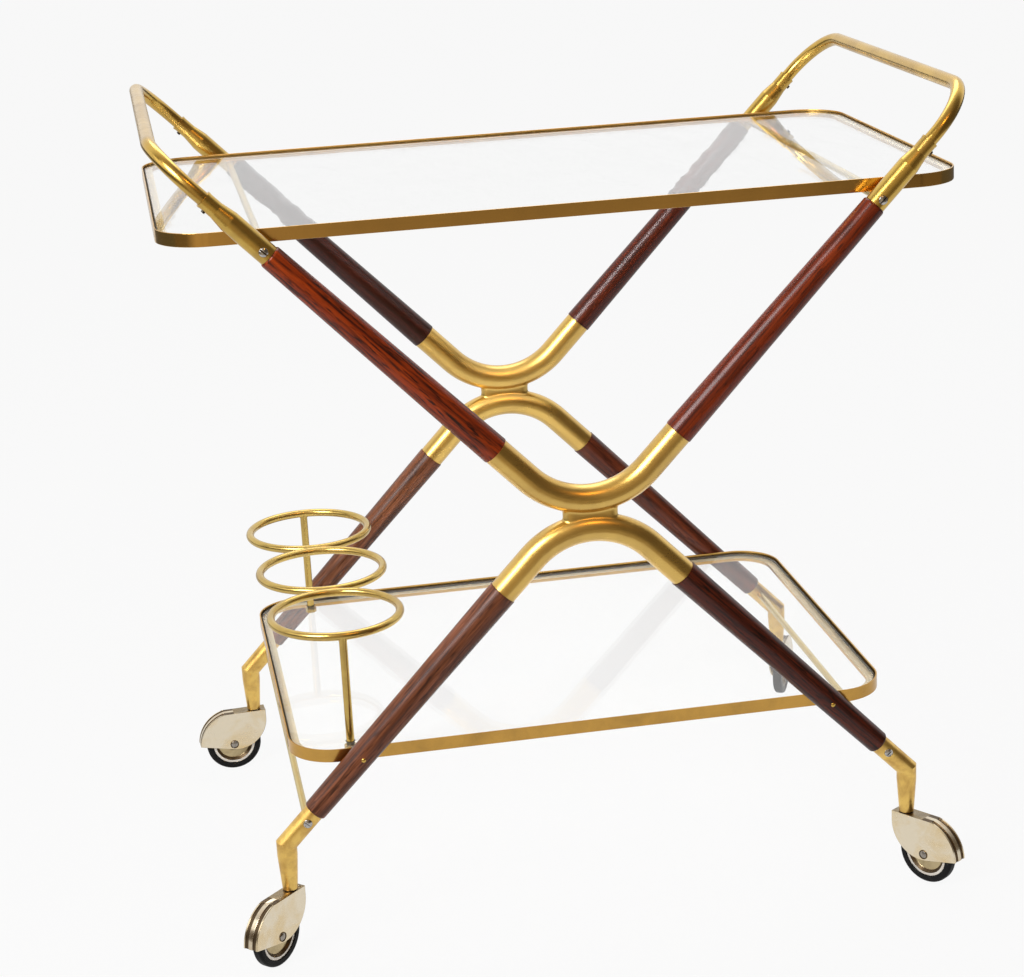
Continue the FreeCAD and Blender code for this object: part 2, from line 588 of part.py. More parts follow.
def make_saddle(end_name):
    """An oblong block between the two bent tubes of a side, hollowed to seat on both."""
    body = new_body("Saddle")
    sketch = new_sketch(body, "XY_Plane", "SaddleOutline")
    draw(sketch, [
        ("-saddle_half_straight", "-saddle_half_width"),
        ("saddle_half_straight", "-saddle_half_width", "saddle_half_width", 1),
        ("saddle_half_length", 0, "saddle_half_width", 1),
        ("saddle_half_straight", "saddle_half_width"),
        ("-saddle_half_straight", "saddle_half_width", "saddle_half_width", 1),
        ("-saddle_half_length", 0, "saddle_half_width", 1),
    ])
    add_pad(body, sketch, "saddle_height", centred=True)
    tools = []
    for level in LEVELS.values():
        torus = doc.addObject("Part::Torus", "SaddleSeat")
        bind(torus, Radius1="bend_radius", Radius2="saddle_bore_radius")
        torus.Placement = FreeCAD.Placement(UP * (level * number("bend_centre_height")),
                                            FreeCAD.Rotation(FreeCAD.Vector(1, 0, 0), 90))
        tools.append(torus)
    base = FreeCAD.Vector(0, ENDS[end_name] * number("half_spacing"), number("centre_height"))
    finish(cut(body, tools), f"{end_name}_saddle", FreeCAD.Placement(base, FreeCAD.Rotation()))


def make_ferrule(side_name, end_name):
    side, end = SIDES[side_name], ENDS[end_name]
    body = new_body("Ferrule")
    add_turned(body, "XZ_Plane", [
        ("socket_radius", 0),
        ("ferrule_radius", 0),
        ("ferrule_radius", "ferrule_barrel_length"),
        ("ferrule_neck_radius", "ferrule_neck_start"),
        ("ferrule_neck_radius", "ferrule_lip_start"),
        ("ferrule_lip_radius", "ferrule_lip_start"),
        ("ferrule_lip_radius", "ferrule_length"),
        ("handle_socket_radius", "ferrule_length"),
        ("handle_socket_radius", "handle_socket_start"),
        (0, "handle_socket_start"),
        (0, "socket_depth"),
        ("socket_radius", "socket_depth"),
    ])
    tools = stretcher_cutters(side, end, 1, "upper_stretcher_offset", "ferrule_seat")
    tools.append(cylinder("set_screw_hole_radius", "cutter_reach", UP * number("set_screw_height"),
                          FreeCAD.Vector(1, 0, 0)))
    finish(cut(body, tools), f"{end_name}_{side_name}_ferrule", leg_placement(side, end, 1, 0))


def make_handle(side_name):
    side = SIDES[side_name]
    body = new_body("Handle")
    add_tube(body, "XZ_Plane", "YZ_Plane", ["handle_tube_radius", "handle_bore_radius"], [
        (0, 0),
        ("handle_half_straight", 0, "handle_bend_radius", -1),
        ("handle_half_width", "-handle_bend_radius"),
        ("handle_half_width", "-handle_arm_end"),
    ])
    place = leg_placement(side, 0, 1, number("ferrule_length") + number("handle_reach"))
    finish(body, f"{side_name}_handle", place)


def make_elbow(side_name, end_name):
    """A mitred elbow with a tapered stem; its frame is the frame of the leg."""
    side, end = SIDES[side_name], ENDS[end_name]
    body = new_body("Elbow")
    profile = new_sketch(body, "XY_Plane", "ElbowProfile")
    draw_circle(profile, "elbow_radius")
    spine = new_sketch(body, "XZ_Plane", "ElbowSpine")
    draw(spine, [(0, 0), (0, "elbow_arm_length"), ("-elbow_shoulder_x", "elbow_shoulder_z")], closed=False)
    doc.recompute()
    pipe = body.newObject("PartDesign::AdditivePipe", "ElbowPipe")
    pipe.Profile = profile
    pipe.Spine = (spine, ["Edge1", "Edge2"])
    pipe.Transition = "Right corner"
    down = FreeCAD.Vector(-COSINE, 0, SINE)
    shoulder = FreeCAD.Vector(-number("elbow_shoulder_x"), 0, number("elbow_shoulder_z"))
    foot = FreeCAD.Vector(-number("elbow_foot_x"), 0, number("elbow_foot_z"))
    taper = doc.addObject("Part::Cone", "ElbowTaper")
    bind(taper, Radius1="elbow_radius", Radius2="elbow_foot_radius", Height="elbow_taper_length")
    taper.Placement = FreeCAD.Placement(shoulder, FreeCAD.Rotation(UP, down))
    joined = doc.addObject("Part::MultiFuse", "ElbowSolid")
    joined.Shapes = [body, taper]
    tools = stretcher_cutters(side, end, -1, "lower_stretcher_offset", "elbow_seat")
    tools.append(cylinder("socket_radius", "socket_depth", FreeCAD.Vector(), UP))
    tools.append(cylinder("swivel_elbow_bore_radius", "swivel_bore_depth", foot, -down))
    finish(cut(joined, tools), f"{end_name}_{side_name}_elbow", leg_placement(side, end, -1, 0))


def make_stretcher(side_name, level_name):
    """A round bar across the cart with a screw bore in each end."""
    body = new_body("Stretcher")
    add_turned(body, "XY_Plane", [
        (0, "-stretcher_bore_end"),
        ("screw_hole_radius", "-stretcher_bore_end"),
        ("screw_hole_radius", "-half_spacing"),
        ("stretcher_radius", "-half_spacing"),
        ("stretcher_radius", "half_spacing"),
        ("screw_hole_radius", "half_spacing"),
        ("screw_hole_radius", "stretcher_bore_end"),
        (0, "stretcher_bore_end"),
    ])
    base = FreeCAD.Vector(SIDES[side_name] * number(level_name + "_stretcher_x"), 0,
                          number(level_name + "_stretcher_height"))
    finish(body, f"{side_name}_{level_name}_stretcher", FreeCAD.Placement(base, FreeCAD.Rotation()))


def slotted(body, width, depth, top, span):
    """Cuts a slot across the top end of a screw body."""
    slot = doc.addObject("Part::Box", "Slot")
    bind(slot, Length=span, Width=width, Height="cutter_reach")
    slot.Placement.Base = FreeCAD.Vector(-number(span) / 2, -number(width) / 2, number(top) - number(depth))
    return cut(body, [slot])


def make_stretcher_screws():
    body = new_body("Screw")
    add_turned(body, "XZ_Plane", [
        (0, "-screw_length"),
        ("screw_radius", "-screw_length"),
        ("screw_radius", 0),
        ("screw_head_radius", 0),
        ("screw_head_radius", "screw_head_edge", "screw_dome_radius", 1),
        (0, "screw_head_height"),
    ])
    pattern = slotted(body, "screw_slot_width", "screw_slot_depth", "screw_head_height", "cutter_reach")
    places = []
    for side in SIDES.values():
        for end in ENDS.values():
            outside = FreeCAD.Rotation(UP, FreeCAD.Vector(0, end, 0))
            for level_name, seat in (("upper", "ferrule_seat"), ("lower", "elbow_seat")):
                base = FreeCAD.Vector(side * number(level_name + "_stretcher_x"),
                                      end * (number("half_spacing") + number(seat)),
                                      number(level_name + "_stretcher_height"))
                turn = FreeCAD.Rotation(UP, 45 * side)
                places.append(FreeCAD.Placement(base, outside * turn))
    group("stretcher_screws", pattern, places)


def make_set_screws():
    """Set screws under the necks, standing in their holes on the handle tube."""
    pin = doc.addObject("Part::Cylinder", "SetScrew")
    bind(pin, Radius="set_screw_radius", Height="set_screw_length")
    pattern = slotted(pin, "set_screw_slot_width", "set_screw_slot_depth", "set_screw_length",
                      "cutter_reach")
    across = FreeCAD.Placement(
        FreeCAD.Vector(number("set_screw_start"), 0, number("set_screw_height")),
        FreeCAD.Rotation(UP, FreeCAD.Vector(1, 0, 0)),
    )
    places = [leg_placement(side, end, 1, 0) * across for side in SIDES.values() for end in ENDS.values()]
    group("handle_set_screws", pattern, places)


def make_tray_pins():
    body = new_body("TrayPin")
    add_turned(body, "XZ_Plane", [
        (0, "-tray_pin_length"),
        ("tray_pin_radius", "-tray_pin_length"),
        ("tray_pin_radius", 0),
        ("tray_pin_head_radius", 0, "tray_pin_dome_radius", 1),
        (0, "tray_pin_head_height"),
    ])
    places = []
    for side in SIDES.values():
        for end in ENDS.values():
            base = FreeCAD.Vector(side * number("tray_pin_x"),
                                  end * (number("half_spacing") + number("tray_pin_seat")),
                                  number("tray_pin_height"))
            places.append(FreeCAD.Placement(base, FreeCAD.Rotation(UP, FreeCAD.Vector(0, end, 0))))
    group("lower_tray_pins", body, places)


def tray_outline(sketch, tray, inset, radius):
    """A rounded rectangle inside the tray's outer edge; radius names its corner."""
    key = f"{tray}_{inset}"
    draw_rounded_rectangle(sketch, key + "_half_length", key + "_half_depth",
                           tray + "_straight_x", tray + "_straight_y", radius)


def post_spot(end):
    """The middle of a bottle ring post on the ground plane."""
    return FreeCAD.Vector(-number("ring_x"), end * number("post_y"), 0)


def make_tray(tray, height):
    """A rim with an inward flange and the glass sheet that lies on it."""
    place = FreeCAD.Placement(UP * number(height), FreeCAD.Rotation())
    body = new_body("Rim")
    band = new_sketch(body, "XY_Plane", "Band")
    tray_outline(band, tray, "outer", "rim_corner_radius")
    tray_outline(band, tray, "inner", "rim_inner_radius")
    add_pad(body, band, "rim_height")
    flange = new_sketch(body, "XY_Plane", "Flange")
    tray_outline(flange, tray, "outer", "rim_corner_radius")
    tray_outline(flange, tray, "opening", "rim_opening_radius")
    add_pad(body, flange, "flange_thickness")
    rim = body
    if tray == "lower":
        middle = UP * (number("tray_pin_height") - number(height))
        span = FreeCAD.Vector(0, -number("half_spacing"), 0)
        rim = cut(body, [
            cylinder("tray_pin_hole_radius", "frame_spacing",
                     middle + span + FreeCAD.Vector(side * number("tray_pin_x"), 0, 0),
                     FreeCAD.Vector(0, 1, 0))
            for side in SIDES.values()
        ])
    finish(rim, f"{tray}_rim", place)
    sheet_body = new_body("Glass")
    outline = new_sketch(sheet_body, "XY_Plane", "GlassOutline")
    tray_outline(outline, tray, "glass", "glass_corner_radius")
    pad = add_pad(sheet_body, outline, "glass_thickness")
    doc.recompute()
    ground = sheet_body.newObject("PartDesign::Chamfer", "GroundEdge")
    flat = [index + 1 for index, face in enumerate(pad.Shape.Faces) if abs(face.normalAt(0, 0).z) > 0.5]
    ground.Base = (pad, [f"Face{index}" for index in flat])
    bind(ground, Size="glass_edge_chamfer")
    sheet = sheet_body
    if tray == "lower":
        sheet = cut(sheet_body, [
            cylinder("post_hole_radius", "glass_thickness", post_spot(end), UP)
            for end in ENDS.values()
        ])
    rest = FreeCAD.Placement(UP * (number(height) + number("flange_thickness")), FreeCAD.Rotation())
    finish(sheet, f"{tray}_glass", rest)


def make_ring_row():
    """Three bottle rings across the cart, and two posts held in the lower glass by a nut each."""
    posts = []
    for name, step in (("front", -1), ("middle", 0), ("back", 1)):
        middle = FreeCAD.Vector(-number("ring_x"), step * number("ring_pitch"), number("ring_plane_height"))
        ring = doc.addObject("Part::Torus", "BottleRing")
        bind(ring, Radius1="ring_mean_radius", Radius2="ring_wire_radius")
        finish(ring, f"{name}_bottle_ring", FreeCAD.Placement(middle, FreeCAD.Rotation()))
        if step:
            foot = post_spot(step) + UP * number("post_bottom")
            seat = post_spot(step) + UP * number("post_nut_bottom")
            cope = doc.addObject("Part::Torus", "PostCope")
            bind(cope, Radius1="ring_mean_radius", Radius2="post_cope_radius")
            cope.Placement.Base = middle
            posts.append(cut(cylinder("post_radius", "post_length", foot, UP), [cope]))
            nut = cylinder("post_nut_radius", "post_nut_height", seat, UP)
            posts.append(cut(nut, [cylinder("post_hole_radius", "post_nut_height", seat, UP)]))
    pair = doc.addObject("Part::Compound", "Posts")
    pair.Links = posts
    finish(pair, "bottle_posts", FreeCAD.Placement())


def make_hood(label, place):
    """Two cheeks under a crown strip, in a frame at the middle of the axle with X along the trail."""
    body = new_body("Hood")
    outline = new_sketch(body, "XZ_Plane", "HoodOutline")
    draw(outline, [
        ("-hood_rear_x", "hood_top"),
        ("-hood_rear_x", "heel_z", "hood_heel_radius", 1),
        ("heel_end_x", "-heel_drop"),
        ("tip_x", "tip_z", "hood_radius", 1),
        ("hood_front_x", "hood_top"),
    ])
    add_pad(body, outline, "hood_width", centred=True)
    slot_body = new_body("WheelSlot")
    slot = new_sketch(slot_body, "XZ_Plane", "SlotOutline")
    draw(slot, [
        ("-cutter_reach", "-cutter_reach"),
        ("slot_tip_x", "-cutter_reach"),
        ("slot_tip_x", "slot_tip_z", "slot_radius", 1),
        ("slot_front_x", "slot_top"),
        ("-cutter_reach", "slot_top"),
    ])
    add_pad(slot_body, slot, "slot_width", centred=True)
    tools = [slot_body]
    for turn in (-1, 1):
        groove_body = new_body("CrownGroove")
        groove = new_sketch(groove_body, "XZ_Plane", "GrooveOutline")
        draw(groove, [
            ("hood_front_x", "groove_top", "groove_radius", -1),
            ("groove_radius", 0),
            ("cutter_reach", 0),
            ("cutter_reach", "cutter_reach"),
            ("hood_front_x", "cutter_reach"),
        ])
        add_pad(groove_body, groove, "groove_width", centred=True)
        groove_body.Placement.Base = FreeCAD.Vector(0, turn * number("groove_middle"), 0)
        tools.append(groove_body)
    swivel = FreeCAD.Vector(-number("wheel_trail"), 0, 0)
    across = FreeCAD.Vector(0, 1, 0)
    tools.append(cylinder("swivel_hood_bore_radius", "cutter_reach", swivel, UP))
    tools.append(cylinder("axle_cheek_bore_radius", "hood_width", across * -number("hood_half_width"), across))
    finish(cut(body, tools), label, place)


def make_stem(label, place):
    """Swivel stem: riveted end, collar and the pin that turns in the elbow; its origin is on the hood top."""
    body = new_body("Stem")
    add_turned(body, "XZ_Plane", [
        (0, "-swivel_head_bottom"),
        ("swivel_head_radius", "-swivel_head_bottom"),
        ("swivel_head_radius", "-plate_thickness"),
        ("swivel_pin_radius", "-plate_thickness"),
        ("swivel_pin_radius", 0),
        ("collar_radius", 0),
        ("collar_radius", "collar_height"),
        ("swivel_pin_radius", "collar_height"),
        ("swivel_pin_radius", "swivel_pin_end"),
        (0, "swivel_pin_end"),
    ])
    finish(body, label, place)


def make_axle(label, place):
    """Axle rivet with a domed head outside each cheek."""
    body = new_body("Axle")
    add_turned(body, "XY_Plane", [
        (0, "-axle_end", "axle_dome_radius", 1),
        ("axle_head_radius", "-hood_half_width"),
        ("axle_radius", "-hood_half_width"),
        ("axle_radius", "hood_half_width"),
        ("axle_head_radius", "hood_half_width", "axle_dome_radius", 1),
        (0, "axle_end"),
    ])
    finish(body, label, place)


def make_disc(label, place):
    """Dished wheel disc with a hub that turns on the axle."""
    body = new_body("Disc")
    near = [
        ("axle_hub_bore_radius", "hub_half_width"),
        ("disc_hub_radius", "hub_half_width"),
        ("dish_inner", "disc_web_half"),
        ("dish_outer", "disc_web_half"),
        ("disc_rim_inner", "disc_rim_half"),
        ("disc_radius", "disc_rim_half"),
    ]
    far = [(x, "-" + y) for x, y in near]
    add_turned(body, "XY_Plane", far + near[::-1])
    finish(body, label, place)


def make_tyre(label, place):
    body = new_body("Tyre")
    add_turned(body, "XY_Plane", [
        ("tyre_bore_radius", "-tyre_half_width"),
        ("tyre_side_radius", "-tyre_half_width", "tyre_round", 1),
        ("tyre_radius", "-tyre_tread_half"),
        ("tyre_radius", "tyre_tread_half", "tyre_round", 1),
        ("tyre_side_radius", "tyre_half_width"),
        ("tyre_bore_radius", "tyre_half_width"),
    ])
    finish(body, label, place)


def make_caster(side_name, end_name):
    yaw = CASTER_YAW[end_name, side_name]
    turn = FreeCAD.Rotation(UP, yaw)
    swivel = FreeCAD.Vector(SIDES[side_name] * number("corner_x"), ENDS[end_name] * number("half_spacing"), 0)
    trail = turn.multVec(FreeCAD.Vector(number("wheel_trail"), 0, 0))
    axle = FreeCAD.Placement(swivel + trail + UP * number("axle_height"), turn)
    top = FreeCAD.Placement(swivel + UP * number("hood_top_height"), turn)
    corner = f"{end_name}_{side_name}"
    make_hood(f"{corner}_caster_hood", axle)
    make_stem(f"{corner}_caster_stem", top)
    make_axle(f"{corner}_caster_axle", axle)
    make_disc(f"{corner}_wheel_disc", axle)
    make_tyre(f"{corner}_tyre", axle)


def export_pieces():
    """Checks every object and writes each finished piece to its own file."""
    doc.recompute()
    broken = [item.Name for item in doc.Objects if "Invalid" in item.State or "Error" in item.State]
    broken += [item.Label for item in finished if item.Shape.isNull() or not item.Shape.isValid()]
    if broken:
        raise RuntimeError("broken objects: " + ", ".join(broken))
    os.makedirs("parts", exist_ok=True)
    for item in finished:
        item.Shape.exportStep(f"parts/{item.Label}.step")


for end_key in ENDS:
    make_saddle(end_key)
    for level_key in LEVELS:
        make_bend(end_key, level_key)
for side_key in SIDES:
    make_handle(side_key)
    for level_key in LEVELS:
        make_stretcher(side_key, level_key)
    for end_key in ENDS:
        make_ferrule(side_key, end_key)
        make_elbow(side_key, end_key)
        make_caster(side_key, end_key)
        for level_key in LEVELS:
            make_rod(side_key, end_key, level_key)
make_tray("top", "top_tray_height")
make_tray("lower", "lower_tray_height")
make_ring_row()
make_stretcher_screws()
make_set_screws()
make_tray_pins()
export_pieces()
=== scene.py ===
"""Looks of a bar cart: wood and brass side frames, glass trays, bottle rings and hooded casters."""
import json
import math

import bpy
from mathutils import Matrix, Vector


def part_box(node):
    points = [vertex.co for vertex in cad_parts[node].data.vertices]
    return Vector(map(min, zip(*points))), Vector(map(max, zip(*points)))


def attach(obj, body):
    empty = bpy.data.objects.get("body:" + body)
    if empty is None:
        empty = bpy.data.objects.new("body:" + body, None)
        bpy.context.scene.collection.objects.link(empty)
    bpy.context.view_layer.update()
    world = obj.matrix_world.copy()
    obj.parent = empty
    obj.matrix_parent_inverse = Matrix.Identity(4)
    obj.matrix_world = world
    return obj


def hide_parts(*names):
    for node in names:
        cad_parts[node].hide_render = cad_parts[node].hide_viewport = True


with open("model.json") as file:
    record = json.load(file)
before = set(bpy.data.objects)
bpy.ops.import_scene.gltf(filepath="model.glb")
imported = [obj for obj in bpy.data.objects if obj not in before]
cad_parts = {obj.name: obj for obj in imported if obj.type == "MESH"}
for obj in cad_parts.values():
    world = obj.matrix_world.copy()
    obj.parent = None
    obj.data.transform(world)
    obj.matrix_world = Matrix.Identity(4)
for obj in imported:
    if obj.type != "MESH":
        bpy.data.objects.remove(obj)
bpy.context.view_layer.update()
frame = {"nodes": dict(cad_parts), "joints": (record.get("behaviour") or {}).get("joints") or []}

bl_info = {
    "name": "Bar cart looks",
    "version": (1, 0, 0),
    "blender": (4, 5, 0),
    "location": "View3D > Sidebar > Bar cart",
    "description": "Finishes and small fittings of a wood, brass and glass bar cart",
    "category": "Object",
}

CORNERS = ["front_left", "front_right", "back_left", "back_right"]
ENDS = ["front", "back"]

# Slope of the legs, in degrees.
LEG_SLOPE = 46
# Angles between neighbouring faces, in degrees: up to the first they are one flat face, up to the second
# one smooth surface, and past the third their edge is rounded. The glass has its own smooth angle.
FLAT_ANGLE = 0.6
SMOOTH_ANGLE = 35
EDGE_ANGLE = 28
GLASS_SMOOTH_ANGLE = 20
# Shares of a face's normal along a direction: a level face looks straight along it, a face of a hood's top
# and a facing one nearly so, a leaning one more along it than aside, a side face less than halfway and a
# wall hardly at all.
LEVEL = 0.99
HOOD_TOP = 0.97
FACING = 0.9
LEANING = 0.7
SIDE = 0.5
WALL = 0.1
# Distances in metres: points closer than the first are merged, places closer than the second are the same.
MERGED = 1e-6
NEAR = 1e-4

# For each wood rod, how red and light it is from 0 for the deepest to 1 for the reddest,
# how far it leans to brown, and how strong its dark streaks are. The lightness is partly the wood's own
# tone and partly painted shade: the back upper rods are set deep for the shade they lie in.
ROD_TONES_AND_SHADE = {
    "front_left_upper": (0.92, 0.0, 0.9),
    "front_right_upper": (0.66, 0.0, 0.6),
    "front_left_lower": (0.55, 0.8, 0.6),
    "front_right_lower": (0.20, 0.0, 0.85),
    "back_left_upper": (0.03, 0.0, 0.4),
    "back_right_upper": (0.20, 0.0, 0.4),
    "back_left_lower": (0.60, 1.0, 0.5),
    "back_right_lower": (0.25, 0.2, 0.5),
}

# How much rougher full tarnish is than clean metal.
TARNISH_ROUGHNESS = 0.12
# Colours, tarnish and polish of each metal finish. Amount, scale and specks are those of the tarnish,
# stretch runs the polishing lines, smooth and rough bound the roughness, and waves are the unevenness.
METALS = {
    "Satin brass": dict(
        clean="brass_satin", aged="brass_aged", amount=0.35, scale=14, specks=0.1,
        stretch=(60, 700, 700), smooth=0.25, rough=0.36, waves=0.06, coat=0.5,
    ),
    "Handle brass": dict(
        clean="brass_handle", aged="brass_aged", amount=0.50, scale=20, specks=0.1,
        stretch=(60, 300, 300), smooth=0.19, rough=0.25, waves=0.01, coat=0.25,
    ),
    "Ferrule brass": dict(
        clean="brass_ferrule", aged="brass_aged", amount=0.55, scale=30, specks=0.1,
        stretch=(60, 300, 300), smooth=0.24, rough=0.30, waves=0.01, coat=0.25,
    ),
    "Rod brass": dict(
        clean="brass_rod", aged="brass_aged", amount=0.25, scale=30, specks=0.1,
        stretch=(300, 60, 300), smooth=0.28, rough=0.40, waves=0.12, coat=0.3,
    ),
    "Ring brass": dict(
        clean="brass_ring", aged="brass_aged", amount=0.40, scale=30, specks=0.1,
        stretch=(60, 300, 300), smooth=0.20, rough=0.25, waves=0.03, coat=0.2,
    ),
    "Top rim brass": dict(
        clean="brass_rim", aged="brass_aged", amount=0.25, scale=9, specks=0.2,
        stretch=(7, 7, 1500), smooth=0.12, rough=0.19, waves=0.05, coat=0.15,
    ),
    # Painted shade: a darker copy of the rim brass for the lower rim.
    "Lower rim brass": dict(
        clean="brass_low_rim", aged="brass_aged", amount=0.40, scale=30, specks=0.2,
        stretch=(7, 7, 1500), smooth=0.14, rough=0.24, waves=0.05, coat=0.15,
    ),
    "Rim inside": dict(
        clean="brass_rim", aged="brass_aged", amount=0.35, scale=14, specks=0.2,
        stretch=(7, 7, 1500), smooth=0.24, rough=0.36, waves=0.12,
    ),
    "Top flange": dict(
        clean="flange", aged="brass_aged", amount=0.10, scale=20, specks=0.0,
        stretch=(40, 40, 40), smooth=0.42, rough=0.55, waves=0.05, metallic=0.2,
    ),
    # The lower flange turns darker toward the right end of the cart.
    "Lower flange": dict(
        clean="flange_low", aged="brass_aged", amount=0.30, scale=20, specks=0.2,
        stretch=(40, 40, 40), smooth=0.42, rough=0.55, waves=0.05, metallic=0.25,
        worn="flange_worn",
    ),
    "Elbow brass": dict(
        clean="brass_elbow", aged="brass_brown", amount=0.75, scale=56, specks=0.2,
        stretch=(90, 90, 260), smooth=0.26, rough=0.36, waves=0.05, coat=0.15,
    ),
    "Seam": dict(
        clean="brass_seam", aged="steel_dark", amount=0.60, scale=120, specks=0.3,
        stretch=(90, 90, 260), smooth=0.40, rough=0.55, waves=0.12,
    ),
    "Worn nickel": dict(
        clean="nickel", aged="brass_satin", amount=0.60, scale=30, specks=0.1,
        stretch=(160, 160, 420), smooth=0.16, rough=0.28, waves=0.15, coat=0.2,
    ),
    # Painted shade: the hood tops are painted this darker brown for the shade and dark reflection around the
    # stems.
    "Worn plate": dict(
        clean="plate", aged="brass_seam", amount=0.50, scale=70, specks=0.2,
        stretch=(160, 160, 420), smooth=0.20, rough=0.32, waves=0.12,
    ),
    "Hood edge": dict(
        clean="plate", aged="brass_seam", amount=0.80, scale=90, specks=0.2,
        stretch=(160, 160, 420), smooth=0.20, rough=0.32, waves=0.05,
    ),
    # Painted highlight: a light nickel strip along the hood ridges.
    "Ridge nickel": dict(
        clean="ridge", aged="brass_brown", amount=0.50, scale=90, specks=0.2,
        stretch=(200, 200, 200), smooth=0.14, rough=0.24, waves=0.05,
    ),
    # Bright nickel bead, made whiter in part as a painted highlight.
    "Disc bead": dict(
        clean="bead", aged="brass_brown", amount=0.25, scale=90, specks=0.2,
        stretch=(200, 200, 200), smooth=0.12, rough=0.22, waves=0.05, metallic=0.5,
    ),
    # Duller dish, its darker tone partly painted shade of the recess.
    "Disc dish": dict(
        clean="dish", aged="brass_seam", amount=0.45, scale=60, specks=0.2,
        stretch=(200, 200, 200), smooth=0.14, rough=0.26, waves=0.12,
    ),
    # Painted shade: the hood grooves and the slopes and rounded edges of the wheel discs are painted this
    # dark.
    "Hood groove": dict(
        clean="groove", aged="steel_dark", amount=0.50, scale=160, specks=0.3,
        stretch=(200, 200, 200), smooth=0.30, rough=0.45, waves=0.12,
    ),
    "Rivet steel": dict(
        clean="rivet", aged="steel_dark", amount=0.40, scale=300, specks=0.3,
        stretch=(300, 300, 900), smooth=0.18, rough=0.30, waves=0.12,
    ),
    "Screw steel": dict(
        clean="steel", aged="steel_dark", amount=0.45, scale=260, specks=0.3,
        stretch=(300, 300, 900), smooth=0.14, rough=0.28, waves=0.12,
    ),
    "Dark steel": dict(
        clean="steel_dark", aged="brass_aged", amount=0.35, scale=220, specks=0.3,
        stretch=(300, 300, 900), smooth=0.35, rough=0.50, waves=0.12,
    ),
}

# Glass of the trays: how clear it is, how far it bends light and how wavy it is.
GLASSES = {
    "Top glass": dict(clearness=1.0, bending=1.5, waviness=0.02),
    "Top glass underside": dict(clearness=1.0, bending=1.5, waviness=0.28),
    "Lower glass": dict(clearness=0.96, bending=1.17, waviness=0.02),
    "Lower glass underside": dict(clearness=0.96, bending=1.17, waviness=0.15),
}


